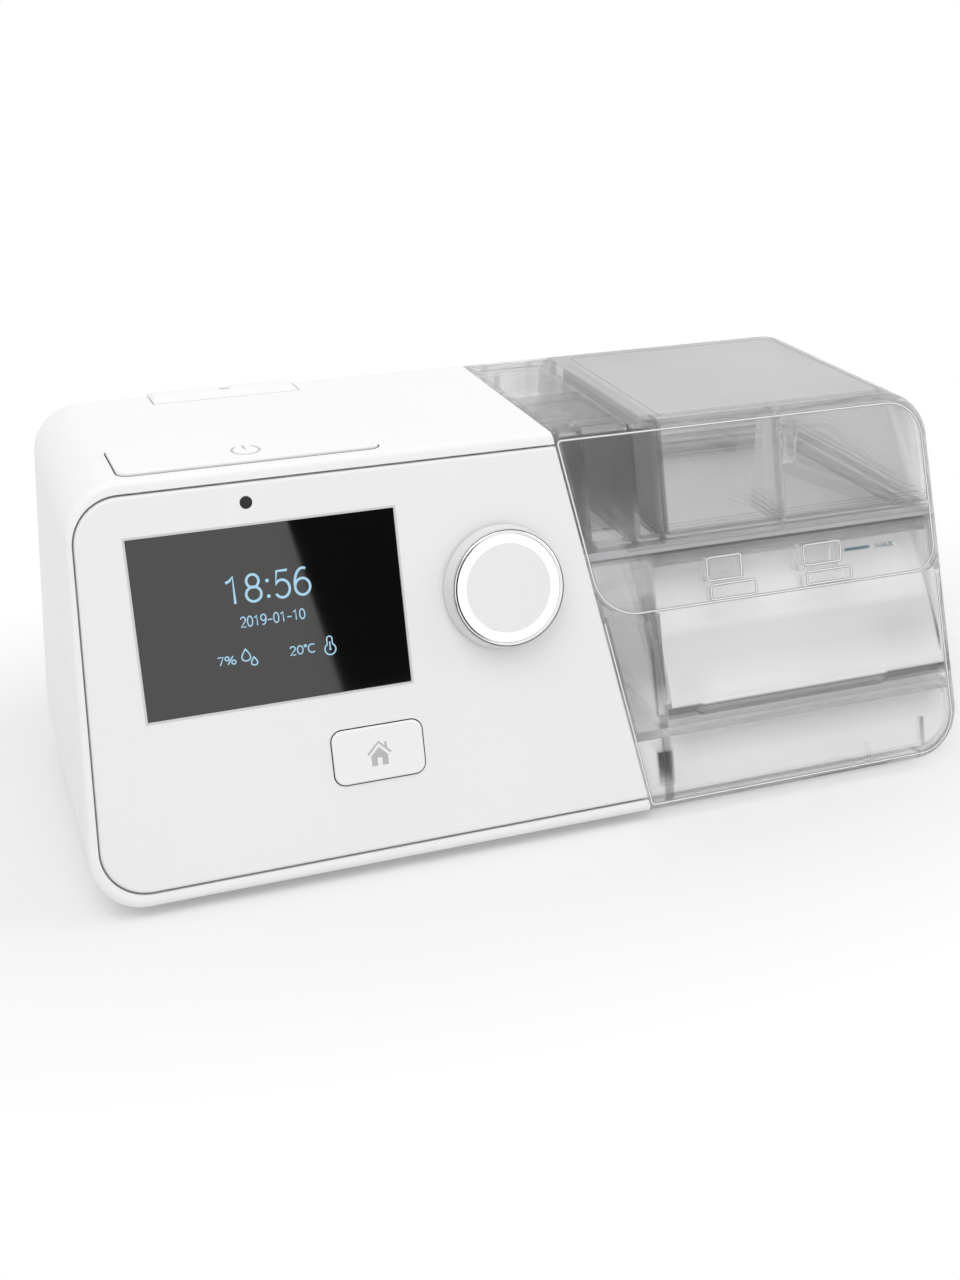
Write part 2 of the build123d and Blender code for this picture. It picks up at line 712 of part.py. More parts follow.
def blower_housing():
    """Lower volute half with a spout towards the tank."""
    low = blower_low()
    body = blower_place(low) * extrude(volute_outline(BLOWER_WALL), BLOWER_H - BLOWER_WALL)
    body -= blower_place(low + BLOWER_WALL) * extrude(volute_outline(0), BLOWER_H)
    end = BLOWER_X + SPOUT_X + BLOWER_WALL
    body += side_tube(AIR_IN_Y, AIR_Z, AIR_BORE_R + DUCT_T, end, end + SPOUT_L)
    body -= side_tube(AIR_IN_Y, AIR_Z, AIR_BORE_R, end - 2 * BLOWER_WALL, end + 2 * SPOUT_L)
    body -= blower_place(low) * Cylinder(2 * MOTOR_SHAFT_R, 4 * BLOWER_WALL)
    return body


def blower_cover():
    top = blower_low() + BLOWER_H
    cover = blower_place(top - BLOWER_WALL) * extrude(volute_outline(BLOWER_WALL), BLOWER_WALL)
    cover -= blower_place(top) * Cylinder(INLET_R, 4 * BLOWER_WALL)
    return cover


def blade():
    """One backward-curved blade of the impeller."""
    root = HUB_R - BLADE_T / 2
    tip = IMPELLER_R - BLADE_T / 2
    lean = radians(BLADE_SWEEP)
    bow = (root + tip) / 2
    curve = ThreePointArc(
        (root, 0), (bow * cos(lean / 3), -bow * sin(lean / 3)), (tip * cos(lean), -tip * sin(lean)))
    return extrude(trace(curve, BLADE_T), IMPELLER_H - BLADE_T / 2)


def impeller():
    low = blower_low() + BLOWER_WALL + IMPELLER_GAP
    wheel = Cylinder(IMPELLER_R, BLADE_T, align=ON_FOOT) + Cylinder(HUB_R, IMPELLER_H, align=ON_FOOT)
    for number in range(BLADES):
        wheel += Rot(0, 0, number * 360 / BLADES) * blade()
    wheel += ring(IMPELLER_R, INLET_R, IMPELLER_H - BLADE_T, IMPELLER_H)
    wheel -= Cylinder(MOTOR_SHAFT_R, 4 * IMPELLER_H)
    return blower_place(low) * wheel


def motor_shaft():
    foot = blower_low() - MOTOR_H + BLOWER_WALL
    top = blower_low() + BLOWER_WALL + IMPELLER_GAP + IMPELLER_H
    return blower_place() * ring(MOTOR_SHAFT_R, 0, foot, top)


def blower_motor():
    top = blower_low()
    can = ring(MOTOR_R, MOTOR_SHAFT_R + SHAFT_FIT, top - MOTOR_H, top)
    rims = can.edges().filter_by(GeomType.CIRCLE).group_by(Axis.Z)[0].sort_by(SortBy.RADIUS)[-1]
    return blower_place() * chamfer(rims, 1.0)


def blower_mount():
    """Soft waisted collar between the pedestal and the blower."""
    top = blower_low()
    foot = top - MOUNT_H
    waist = MOTOR_R + MOUNT_WAIST_T
    profile = Polyline(
        (MOTOR_R + SHAFT_FIT, foot), (MOUNT_R, foot), (MOUNT_R, foot + MOUNT_LIP), (waist, foot + 2 * MOUNT_LIP),
        (waist, top - 2 * MOUNT_LIP), (MOUNT_R, top - MOUNT_LIP), (MOUNT_R, top),
        (MOTOR_R + SHAFT_FIT, top), close=True,
    )
    return blower_place() * revolve(Plane.XZ * make_face(profile), Axis.Z)


def blower_pedestal():
    """Stand on the base plate that carries the blower through its soft mount."""
    top = blower_low() - MOUNT_H
    profile = Polyline(
        (PEDESTAL_R, BASE_TOP_Z), (PEDESTAL_R + 2 * PEDESTAL_T, BASE_TOP_Z),
        (PEDESTAL_R + 2 * PEDESTAL_T, BASE_TOP_Z + PEDESTAL_T), (PEDESTAL_R + PEDESTAL_T, BASE_TOP_Z + PEDESTAL_T),
        (PEDESTAL_R + PEDESTAL_T, top), (MOTOR_R + 1, top), (MOTOR_R + 1, top - PEDESTAL_T),
        (PEDESTAL_R, top - PEDESTAL_T), close=True,
    )
    return blower_place() * revolve(Plane.XZ * make_face(profile), Axis.Z)


def inlet_duct():
    """Ribbed soft sleeve from the blower's spout to the opening in the partition."""
    start = BLOWER_X + SPOUT_X + BLOWER_WALL + SPOUT_L / 2
    inner = AIR_BORE_R + DUCT_T
    sleeve = side_tube(AIR_IN_Y, AIR_Z, inner + DUCT_T, start, REACH / 4)
    sleeve -= side_tube(AIR_IN_Y, AIR_Z, inner + FIT / 5, start - 1, REACH / 2)
    ribs = 4
    for number in range(ribs):
        x = start + SPOUT_L + number * RIB_PITCH
        rib = side_tube(AIR_IN_Y, AIR_Z, inner + 1.5 * DUCT_T, x, x + RIB_PITCH / 2)
        sleeve += rib - side_tube(AIR_IN_Y, AIR_Z, inner + DUCT_T / 2, x - 1, x + RIB_PITCH)
    return sleeve & below(PARTITION, -WALL)


def outlet_elbow():
    """Bent tube from the rear opening in the partition to the outlet port."""
    start = (REACH / 8, AIR_OUT_Y, AIR_Z)
    corner = (PORT_X, AIR_OUT_Y, AIR_Z)
    end = (PORT_X, PORT_INNER_Y, AIR_Z)
    path = FilletPolyline(start, corner, end, radius=ELBOW_R)
    plane = Plane(origin=start, z_dir=(-1, 0, 0))
    outer = sweep(plane * Circle(AIR_BORE_R + DUCT_T), path=path)
    inner = sweep(plane * Circle(AIR_BORE_R), path=path)
    return (outer - inner) & below(PARTITION, -WALL)


def air_outlet_port():
    """Outlet cone stub for a 22 mm hose cuff, with its flange on the back."""
    port = rear_tube(PORT_X, AIR_Z, PORT_PIN_R, PORT_INNER_Y, BODY_DEPTH + PORT_LENGTH)
    port += rear_tube(PORT_X, AIR_Z, PORT_FLANGE_R, BODY_DEPTH, BODY_DEPTH + PORT_FLANGE_T)
    port -= rear_tube(PORT_X, AIR_Z, AIR_BORE_R, PORT_INNER_Y - 1, BODY_DEPTH + 2 * PORT_LENGTH)
    mouth = port.faces().sort_by(Axis.Y)[-1].edges()
    return chamfer(mouth, PORT_CHAMFER)


def port_seals():
    """Soft rings in the partition around both air openings."""
    seals = []
    for y in (AIR_IN_Y, AIR_OUT_Y):
        seal = side_tube(y, AIR_Z, AIR_BORE_R + SEAL_T - FIT, 0, REACH / 4)
        seal -= side_tube(y, AIR_Z, AIR_BORE_R, -1, REACH / 3)
        seals.append(seal & above(PARTITION, -SEAL_SINK) & below(PARTITION, SEAL_PROUD))
    return seals


# ================================ rear: filter and sockets ===========================================

def cover_ramps():
    """Space under the slopes with which the cover rises from the top, in front and at both ends."""
    front = radians(COVER_RAMP)
    end = radians(COVER_END_RAMP)
    space = below(Plane(origin=(0, COVER_FRONT, TOP_Z), x_dir=(1, 0, 0), z_dir=(0, -sin(front), cos(front))))
    for side in (-1, 1):
        foot = (FILTER_X + side * FILTER_W / 2, 0, TOP_Z)
        space = space & below(Plane(origin=foot, x_dir=(0, 1, 0), z_dir=(side * sin(end), 0, cos(end))))
    return space


def filter_cover():
    """Cover that wraps over the rear top edge, with air slots and a finger slot."""
    cover = outer_form(-COVER_PROUD) - outer_form(COVER_T - COVER_PROUD)
    cover = cover & cover_zone(0) & cover_ramps()
    for number in range(COVER_SLOTS):
        z = FOAM_LOW + 3 + number * COVER_PITCH
        slot = block(FILTER_X - FOAM_W / 2 + 2, FILTER_X + FOAM_W / 2 - 2,
                     BODY_DEPTH - REACH_IN, REACH, z, z + COVER_PITCH / 2)
        cover -= slot
    finger = rounded_slab(FINGER_W, FINGER_D, FINGER_D / 2.01, TOP_Z - COVER_T, REACH)
    cover -= Pos(FINGER_X, BODY_DEPTH - FINGER_BACK, 0) * finger
    return cover


def filter_foam():
    low = FOAM_LOW
    place = Pos(FILTER_X, BODY_DEPTH - COVER_T - FOAM_SINK - FOAM_T / 2, low + FOAM_W / 2)
    return place * Box(FOAM_W, FOAM_T, FOAM_W)


def filter_frame():
    """Open box behind the back wall that holds the foam, with a cross on its floor."""
    wall = PEDESTAL_T / 2
    back = BODY_DEPTH - WALL
    front = BODY_DEPTH - COVER_T - FOAM_SINK - FOAM_T - wall
    low = FOAM_LOW - wall - FIT
    high = FOAM_LOW + FOAM_W + wall + FIT
    half = FOAM_W / 2 + wall + FIT
    frame = block(FILTER_X - half, FILTER_X + half, front, back, low, high)
    frame -= block(FILTER_X - half + wall, FILTER_X + half - wall, front + wall, REACH, low + wall, high - wall)
    inner = FOAM_W / 4
    for sx in (-1, 1):
        for sz in (-1, 1):
            hole = Pos(FILTER_X + sx * inner, front, FOAM_LOW + FOAM_W / 2 + sz * inner)
            frame -= hole * Box(FOAM_W / 2 - 2 * wall, 4 * wall, FOAM_W / 2 - 2 * wall)
    return frame


def dc_jack():
    """Barrel socket seated against the back wall."""
    seat = BODY_DEPTH - WALL
    body = block(JACK_X - JACK_W / 2, JACK_X + JACK_W / 2, seat - JACK_D, seat,
                 JACK_Z - JACK_W / 2, JACK_Z + JACK_W / 2)
    collar = rear_tube(JACK_X, JACK_Z, JACK_BORE_R, seat, BODY_DEPTH - SEAT)
    bore = rear_tube(JACK_X, JACK_Z, JACK_BORE_R - 1, seat - JACK_D + 2, REACH)
    pin = rear_tube(JACK_X, JACK_Z, JACK_PIN_R, seat - JACK_D + 1, BODY_DEPTH - WALL / 2)
    return body + collar - bore + pin


def door_recess():
    """Shallow recess of the card cover, its two pin holes and the card slot behind it."""
    recess = block(DOOR_X - DOOR_W / 2 - RUN, DOOR_X + DOOR_W / 2 + RUN, BODY_DEPTH - DOOR_T - RUN, REACH,
                   DOOR_Z - RUN, DOOR_Z + DOOR_H + RUN)
    reach = DOOR_W / 2 + DOOR_PIN_L + RUN
    recess += side_tube(door_axis()[0], door_axis()[1], DOOR_PIN_R + SHAFT_FIT, DOOR_X - reach, DOOR_X + reach)
    recess += block(DOOR_X - CARD_SLOT_W / 2, DOOR_X + CARD_SLOT_W / 2, BODY_DEPTH - 2 * WALL, REACH,
                    CARD_Z - CARD_SLOT_H / 2, CARD_Z + CARD_SLOT_H / 2)
    return recess


def door_axis():
    """Depth and height of the card cover's hinge line."""
    return BODY_DEPTH - DOOR_T / 2, DOOR_Z + DOOR_T / 2


def port_cover():
    """Small flap over the card slot, hinged along its lower edge."""
    y, z = door_axis()
    flap = block(DOOR_X - DOOR_W / 2, DOOR_X + DOOR_W / 2, BODY_DEPTH - DOOR_T, BODY_DEPTH, z, DOOR_Z + DOOR_H)
    flap += side_tube(y, z, DOOR_T / 2, DOOR_X - DOOR_W / 2, DOOR_X + DOOR_W / 2)
    reach = DOOR_W / 2 + DOOR_PIN_L
    flap += side_tube(y, z, DOOR_PIN_R, DOOR_X - reach, DOOR_X + reach)
    notch = Pos(DOOR_X, BODY_DEPTH, DOOR_Z + DOOR_H) * Box(DOOR_W / 3, DOOR_T, 2 * DOOR_T)
    return flap - notch


def card_socket():
    back = BODY_DEPTH - WALL
    body = block(DOOR_X - CARD_W / 2, DOOR_X + CARD_W / 2, back - CARD_D, back,
                 CARD_Z - CARD_H / 2, CARD_Z + CARD_H / 2)
    slot = block(DOOR_X - CARD_SLOT_W / 2, DOOR_X + CARD_SLOT_W / 2, back - CARD_D + 2, REACH,
                 CARD_Z - CARD_SLOT_H / 2, CARD_Z + CARD_SLOT_H / 2)
    return body - slot


# ================================ humidifier base =====================================================

def heater_place(z=0.0):
    return Pos(HEATER_X, HEATER_Y, z)


def humidifier_tray():
    """Hollow platform beside the housing that carries the heater plate under the tub."""
    inset = TANK_WALL + TRAY_GAP
    tray = outer_form(inset, rounded=False) & above(PARTITION) & below(Plane.XY, TRAY_TOP_Z)
    hollow = outer_form(inset + TRAY_WALL, rounded=False) & above(PARTITION, TRAY_WALL)
    tray -= hollow & below(Plane.XY, TRAY_TOP_Z - HEATER_SINK - TRAY_WALL)
    pocket = rounded_slab(HEATER_W + 2 * HEATER_SEAL, HEATER_D + 2 * HEATER_SEAL, HEATER_R + HEATER_SEAL,
                          TRAY_TOP_Z - HEATER_SINK, REACH)
    tray -= heater_place() * pocket
    front = -inset
    low = face_v(SLOT_LOW_Z, front)
    head = face_v(TRAY_TOP_Z, front)
    half = SLOT_W / 2
    slot = Polygon(
        (-half, low), (half, low), (half, head - SLOT_MOUTH), (half + 2 * SLOT_MOUTH, head + SLOT_MOUTH),
        (-half - 2 * SLOT_MOUTH, head + SLOT_MOUTH), (-half, head - SLOT_MOUTH), align=None,
    )
    tray -= FACE * Pos(SLOT_X, 0, front - TRAY_WALL) * extrude(slot, 2 * TRAY_WALL)
    slit_top = face_v(SLIT_TOP_Z, front)
    tray -= face_block(SLIT_X - SLIT_W / 2, SLIT_X + SLIT_W / 2, -REACH, slit_top,
                       front - TRAY_WALL, front + TRAY_WALL)
    return tray


def heater_plate():
    plate = rounded_slab(HEATER_W, HEATER_D, HEATER_R, TRAY_TOP_Z - HEATER_SINK, TRAY_TOP_Z + HEATER_PROUD)
    top = plate.faces().sort_by(Axis.Z)[-1].edges()
    return heater_place() * fillet(top, KEY_EDGE_R)


def heater_seal():
    outer = rounded_slab(HEATER_W + 2 * HEATER_SEAL - FIT / 5, HEATER_D + 2 * HEATER_SEAL - FIT / 5,
                         HEATER_R + HEATER_SEAL, TRAY_TOP_Z - HEATER_SINK, TRAY_TOP_Z + HEATER_SINK)
    inner = rounded_slab(HEATER_W, HEATER_D, HEATER_R, 0, REACH)
    return heater_place() * (outer - inner)


def rubber_feet():
    """Pads under the base plate and under the tray."""
    feet = []
    for y in (FOOT_FRONT_Y, BASE_BACK - FOOT_D):
        feet.append(Pos(FOOT_LEFT_X, y, 0) * rounded_slab(FOOT_W, FOOT_D, FOOT_R, 0, UNDERSIDE_Z))
    for y in (BASE_FRONT + FOOT_D, BASE_BACK - FOOT_D):
        feet.append(Pos(0, y, 0) * rounded_slab(FOOT_W, FOOT_D, FOOT_R, 0, PLINTH_Z))
        feet.append(Pos(HEATER_X + FOOT_W, y, 0) * rounded_slab(
            FOOT_W, FOOT_D, FOOT_R, 0, UNDERSIDE_Z + TANK_WALL + TRAY_GAP))
    return feet


# ================================ tank ===============================================================

def tub_bottom_z():
    return TRAY_TOP_Z + HEATER_PROUD + SEAT


def tank_form(inset=0.0, face_inset=None, rounded=True):
    """The outer form on the tank's side of the partition, drawn in by the inset on every side."""
    return outer_form(inset, face_inset, rounded) & above(PARTITION, TANK_GAP + inset)


def flap_blank(grow, n0, n1):
    """Slab with the outline of the lid's front flap, grown at its lower edge and its corners."""
    foot = FLAP_LOW_V - grow
    slope = tan(radians(PARTITION_LEAN)) * cos(radians(FACE_TILT))
    start = PARTITION_X + (TANK_GAP - grow) / cos(radians(PARTITION_LEAN))
    side = half_width(FACE_FOOT_Z) + grow
    lean = LEAN * cos(radians(FACE_TILT))
    head = PANEL_HEIGHT * 2
    shape = Polygon(
        (start - slope * foot, foot),
        (side - lean * foot, foot),
        (side - lean * head, head),
        (start - slope * head, head),
        align=None,
    )
    low = shape.vertices().sort_by(Axis.Y)[:2].sort_by(Axis.X)
    shape = fillet(low[0], FLAP_LEFT_R + grow)
    low = shape.vertices().sort_by(Axis.Y)[:3].sort_by(Axis.X)
    shape = fillet(low[-1], FLAP_RIGHT_R + grow)
    return FACE * Pos(0, 0, n0) * extrude(shape, n1 - n0)


def scoop_block(shift, inset):
    """Finger scoop under the flap; the shift moves its back wall and its floor into the tub."""
    foot = (scoop_foot_y() + shift, SCOOP_FOOT_Z - shift)
    middle = (SCOOP_MID[0] + shift, SCOOP_MID[1])
    head = (SCOOP_HEAD[0] + shift, SCOOP_HEAD[1])
    roof_z = SEAM_Z - DECK_T + shift
    curve = ThreePointArc(foot, middle, head)
    outline = Polyline(head, (head[0], roof_z), (-REACH_FRONT, roof_z), (-REACH_FRONT, foot[1]), foot)
    profile = make_face([*curve.edges(), *outline.edges()])
    left = SCOOP_LEFT - shift
    prism = Plane(origin=(left, 0, 0), x_dir=(0, 1, 0), z_dir=(1, 0, 0)) * extrude(profile, REACH / 2)
    return prism & outer_form(inset, -REACH_FRONT / 2, rounded=False)


def scoop_foot_y():
    return face_y(SCOOP_FOOT_Z)


def hook(x0, x1, v0, v1):
    """U-shaped snap hook under the rim of the tub."""
    low = -TANK_WALL - HOOK_GAP - HOOK_T
    loop = face_block(x0, x1, v0, v1, low, low + HOOK_T)
    return loop - face_block(x0 + HOOK_BAR, x1 - HOOK_BAR, v0 + HOOK_BAR, v1, low - 1, low + HOOK_T + 1)


def grip_bar():
    """Rounded bead along the lower edge of the scoop."""
    y = scoop_foot_y() + BAR_R * 0.6
    z = SCOOP_FOOT_Z - BAR_R * 0.4
    bar = side_tube(y, z, BAR_R, BAR_LEFT, BAR_RIGHT)
    return fillet(bar.edges(), BAR_R * 0.9)


def skirt_marks():
    """Rounded rib and gate mark on the inside of the skirt, clear of the tray."""
    depth = TRAY_GAP - SEAT
    head = face_v(tub_bottom_z() + FLOOR_T / 2, -TANK_WALL)
    tongue = Pos(TONGUE_X, (TONGUE_LOW_V + head) / 2, -TANK_WALL - depth) * extrude(
        RectangleRounded(TONGUE_W, head - TONGUE_LOW_V, TONGUE_W / 2.01), 2 * depth)
    nib = block(NIB_X - NIB_W / 2, NIB_X + NIB_W / 2, NIB_V[0], NIB_V[1], -TANK_WALL - depth, -TANK_WALL / 2)
    return FACE * tongue + FACE * nib


def knuckles(offset):
    """Hinge knuckles behind the rear wall, one beside each hinge place."""
    pieces = []
    for x in HINGE_X:
        place = x + offset
        pieces.append(side_tube(hinge_y(), HINGE_Z, HINGE_R, place, place + KNUCKLE_L))
    return pieces


def hinge_y():
    return BODY_DEPTH + HINGE_R


def tub_hollow(inset):
    """Space inside the walls of the tub, drawn in by the inset."""
    front = FLAP_GAP + TANK_WALL + inset
    return tank_form(TANK_WALL + inset) - flap_blank(front, -front - TANK_WALL, REACH / 4)


def tank_tub():
    """Clear tub: water chamber, finger scoop, deck, and a skirt that slides over the tray."""
    tub = tank_form() & below(Plane.XY, SEAM_Z)
    tub -= flap_blank(FLAP_GAP, -TANK_WALL - FLAP_GAP, REACH / 4)
    tub -= scoop_block(0, SCOOP_SIDE)
    ledge = tub.edges().filter_by(Axis.X).filter_by(
        lambda e: abs(e.center().Z - SCOOP_FOOT_Z) < FIT and abs(e.center().Y - scoop_foot_y()) < FIT)
    tub = fillet(ledge, LEDGE_R)
    chamber = tub_hollow(0) & layer(tub_bottom_z() + FLOOR_T, SEAM_Z - TUB_FLANGE_T)
    chamber += tub_hollow(FLANGE_W) & layer(SEAM_Z - 2 * TUB_FLANGE_T, REACH / 2)
    chamber -= scoop_block(TANK_WALL, SCOOP_SIDE - TANK_WALL)
    tub -= chamber
    bay = outer_form(TANK_WALL, rounded=False) & layer(0, tub_bottom_z()) & above(PARTITION, -FLOOR_T)
    tub -= bay
    right = half_width(UNDERSIDE_Z) - EDGE_R
    tub -= block(0, right, TANK_WALL, BODY_DEPTH - 2 * TANK_WALL, -REACH, UNDERSIDE_Z + 2 * TANK_WALL)
    metal = rounded_slab(METAL_W, METAL_D, HEATER_R, 0, tub_bottom_z() + METAL_T)
    view = rounded_slab(METAL_W - 2 * METAL_RIM, METAL_D - 2 * METAL_RIM, HEATER_R - METAL_RIM, 0,
                        tub_bottom_z() + 2 * FLOOR_T)
    tub -= heater_place() * metal
    tub -= heater_place() * view
    for values in HOOKS:
        tub += hook(*values)
    tub += grip_bar()
    tub += skirt_marks()
    for x in HINGE_X:
        root = block(x, x + KNUCKLE_L, BODY_DEPTH - TANK_WALL, hinge_y(), HINGE_Z - HINGE_R, HINGE_Z)
        tub += root & below(Plane.XY, SEAM_Z)
    for piece in knuckles(0):
        tub += piece
    tub -= side_tube(hinge_y(), HINGE_Z, HINGE_PIN_R + SHAFT_FIT, 0, REACH / 2)
    return tub


def tub_metal_base():
    plate = rounded_slab(METAL_W - FIT, METAL_D - FIT, HEATER_R, tub_bottom_z(), tub_bottom_z() + METAL_T)
    return heater_place() * plate


def tank_seal():
    """Soft seal on the rim of the tub, under the lid."""
    side = TANK_WALL + FLANGE_W - 2 * SEAL_EDGE
    front = TANK_WALL + FLAP_GAP + SEAL_EDGE
    outer = outer_form(SEAL_EDGE, front) & above(PARTITION, TANK_GAP + SEAL_EDGE)
    inner = outer_form(SEAL_EDGE + side, front + side) & above(PARTITION, TANK_GAP + SEAL_EDGE + side)
    return (outer - inner) & layer(SEAM_Z, SEAM_Z + TANK_SEAL_T)


def lid_hinge_pins():
    pins = []
    for x in HINGE_X:
        pins.append(side_tube(hinge_y(), HINGE_Z, HINGE_PIN_R, x, x + 2 * KNUCKLE_L + RUN))
    return pins


def lid_low_z():
    return SEAM_Z + TANK_SEAL_T + SEAT


def lid_gusset():
    """Slanted rib behind the face in the lid's right front corner."""
    half = GUSSET_W / 2
    drift = PANEL_HEIGHT * tan(radians(GUSSET_LEAN))
    shape = Polygon(
        (GUSSET_X - half, PANEL_HEIGHT), (GUSSET_X + half, PANEL_HEIGHT),
        (GUSSET_X + half + drift, 0), (GUSSET_X - half + drift, 0), align=None,
    )
    return FACE * Pos(0, 0, -TANK_WALL - GUSSET_D) * extrude(shape, GUSSET_D + TANK_WALL / 2)


def tank_lid():
    """Clear lid with inner walls, a front flap with catches, and hinge knuckles."""
    lid = tank_form() & layer(lid_low_z(), REACH / 2)
    inner = tank_form(TANK_WALL)
    lid -= inner
    flap = flap_blank(0, -TANK_WALL, REACH / 4) & below(Plane.XY, lid_low_z() + FIT)
    lid += tank_form() & flap
    room = inner & layer(lid_low_z(), TOP_Z - TANK_WALL / 2)
    for x in LID_RIB_X[1:3]:
        lid += room & block(x - RIB_T / 2, x + RIB_T / 2, 0, LID_WALL_BACK, 0, REACH)
    for x in (LID_RIB_X[0], LID_RIB_X[3]):
        lid += room & block(x - RIB_T / 2, x + RIB_T / 2, 0, face_y(TOP_Z) + RIB_DEPTH, 0, REACH)
    for y in (*LID_CROSS_Y, LID_WALL_BACK - RIB_T / 2):
        lid += room & block(0, LID_RIB_X[1], y - RIB_T / 2, y + RIB_T / 2, 0, REACH)
    lid += room & block(TAB_X - TAB_W / 2, TAB_X + TAB_W / 2, TAB_Y - RIB_T / 2, TAB_Y + RIB_T / 2, TAB_LOW, REACH)
    lid += room & lid_gusset()
    lid += (inner - tank_form(TANK_WALL + FLANGE_W)) & layer(lid_low_z(), lid_low_z() + LID_FLANGE_T)
    for y in (AIR_IN_Y, AIR_OUT_Y):
        bore = side_tube(y, AIR_Z, AIR_BORE_R, 0, LID_RIB_X[1] - RIB_T)
        lid -= bore
    for x0, x1, v0, v1 in HOOKS:
        high = v0 - CATCH_GAP
        low = -TANK_WALL - HOOK_GAP - CATCH_BITE
        lid += face_block(x0 + HOOK_BAR / 2, x1 + HOOK_BAR, high - CATCH_H, high, low, -TANK_WALL / 2)
    for x in HINGE_X:
        place = x + KNUCKLE_L + RUN
        root = block(place, place + KNUCKLE_L, BODY_DEPTH - TANK_WALL, hinge_y(), HINGE_Z, HINGE_Z + HINGE_R)
        lid += root & above(Plane.XY, lid_low_z() - FIT)
    for piece in knuckles(KNUCKLE_L + RUN):
        lid += piece
    lid -= side_tube(hinge_y(), HINGE_Z, HINGE_PIN_R + SHAFT_FIT, HINGE_X[0] - KNUCKLE_L, REACH / 2)
    return lid


# ================================ assembly ============================================================

PIECES = {
    "main_shell": main_shell,
    "front_panel": front_panel,
    "base_plate": base_plate,
    "display_window": display_window,
    "lcd_module": lcd_module,
    "display_frame": display_frame,
    "light_sensor": light_sensor,
    "main_board": main_board,
    "board_components": board_components,
    "button_switches": button_switches,
    "power_board": power_board,
    "home_button": home_button,
    "power_button": power_button,
    "encoder_body": encoder_body,
    "encoder_plunger": encoder_plunger,
    "knob_shaft": knob_shaft,
    "knob_body": knob_body,
    "knob_trim_ring": knob_trim_ring,
    "knob_light_ring": knob_light_ring,
    "knob_disc": knob_disc,
    "blower_housing": blower_housing,
    "blower_cover": blower_cover,
    "impeller": impeller,
    "motor_shaft": motor_shaft,
    "blower_motor": blower_motor,
    "blower_mount": blower_mount,
    "blower_pedestal": blower_pedestal,
    "inlet_duct": inlet_duct,
    "outlet_elbow": outlet_elbow,
    "air_outlet_port": air_outlet_port,
    "port_seals": port_seals,
    "filter_cover": filter_cover,
    "filter_foam": filter_foam,
    "filter_frame": filter_frame,
    "dc_jack": dc_jack,
    "port_cover": port_cover,
    "card_socket": card_socket,
    "humidifier_tray": humidifier_tray,
    "heater_plate": heater_plate,
    "heater_seal": heater_seal,
    "rubber_feet": rubber_feet,
    "tank_tub": tank_tub,
    "tub_metal_base": tub_metal_base,
    "tank_seal": tank_seal,
    "lid_hinge_pins": lid_hinge_pins,
    "tank_lid": tank_lid,
}


def build():
    """Every piece by name, moved so that the origin is at the middle of the underside."""
    made = {}
    for name, maker in PIECES.items():
        piece = maker()
        made[name] = Compound(children=piece) if isinstance(piece, list) else piece
    left = made["main_shell"].bounding_box().min.X
    right = made["tank_tub"].bounding_box().max.X
    front = made["tank_tub"].bounding_box().min.Y
    back = made["air_outlet_port"].bounding_box().max.Y
    home = Pos(-(left + right) / 2, -(front + back) / 2, 0)
    return {name: home * piece for name, piece in made.items()}


def main():
    os.makedirs("parts", exist_ok=True)
    for name, piece in build().items():
        export_step(piece, "parts/" + name + ".step")


if __name__ == "__main__":
    main()
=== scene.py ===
"""Looks of the CPAP machine.

Finishes of the CAD pieces, with painted shade on some of them, screen contents, symbols, seams,
painted highlight and shade lines on the edges of the clear tank, painted shade in the keys' gaps,
in the finger slot and round the window, camera, floor and light.
"""

import json
import math

import bpy
from mathutils import Matrix, Vector


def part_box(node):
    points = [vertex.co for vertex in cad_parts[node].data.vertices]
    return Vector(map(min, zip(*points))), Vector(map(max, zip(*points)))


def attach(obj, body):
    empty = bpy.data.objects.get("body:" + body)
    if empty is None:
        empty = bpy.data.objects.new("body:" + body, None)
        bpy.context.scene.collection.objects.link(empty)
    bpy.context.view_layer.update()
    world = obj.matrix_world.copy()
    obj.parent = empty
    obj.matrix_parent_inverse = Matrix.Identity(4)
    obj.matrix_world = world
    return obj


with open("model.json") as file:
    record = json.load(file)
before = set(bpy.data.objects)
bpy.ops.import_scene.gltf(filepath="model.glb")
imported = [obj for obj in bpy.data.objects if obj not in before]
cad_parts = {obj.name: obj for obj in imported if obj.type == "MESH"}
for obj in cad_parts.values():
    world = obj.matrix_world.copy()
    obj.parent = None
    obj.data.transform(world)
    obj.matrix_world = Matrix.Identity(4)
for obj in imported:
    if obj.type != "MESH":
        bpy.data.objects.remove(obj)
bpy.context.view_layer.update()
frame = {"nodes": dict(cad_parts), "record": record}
MM = 0.001

# ---- camera, from the fit of the photograph's edges: millimetres from the foot of the face ----
CAMERA_YAW = 20.528
CAMERA_PITCH = 24.658
CAMERA_ROLL = 0.149
CAMERA_PLACE = (-169.7, -383.7, 254.1)
LENS = 47.825
SENSOR = 36.0

# ---- face of the machine, in millimetres: X across it, V up its slope, N out of it ----
FACE_TILT = 16.6        # degrees
WINDOW_X = -77.05       # middle of the window
WINDOW_V = 68.8
WINDOW_MIDDLE_N = -0.7  # middle of its glass
WINDOW_W = 71.9
WINDOW_H = 47.6
GLASS_FRONT_N = -0.1
SCREEN_LIFT = 0.03      # screen contents in front of the glass
PRINT_T = 0.03          # thickness of printed and lit marks
BEVEL_SHADE_W = 0.6           # painted shade of the window's bevel: pale grey line around the window
BEVEL_SHADE_T = 0.1
BEVEL_SHADE_LIFT = 0.04

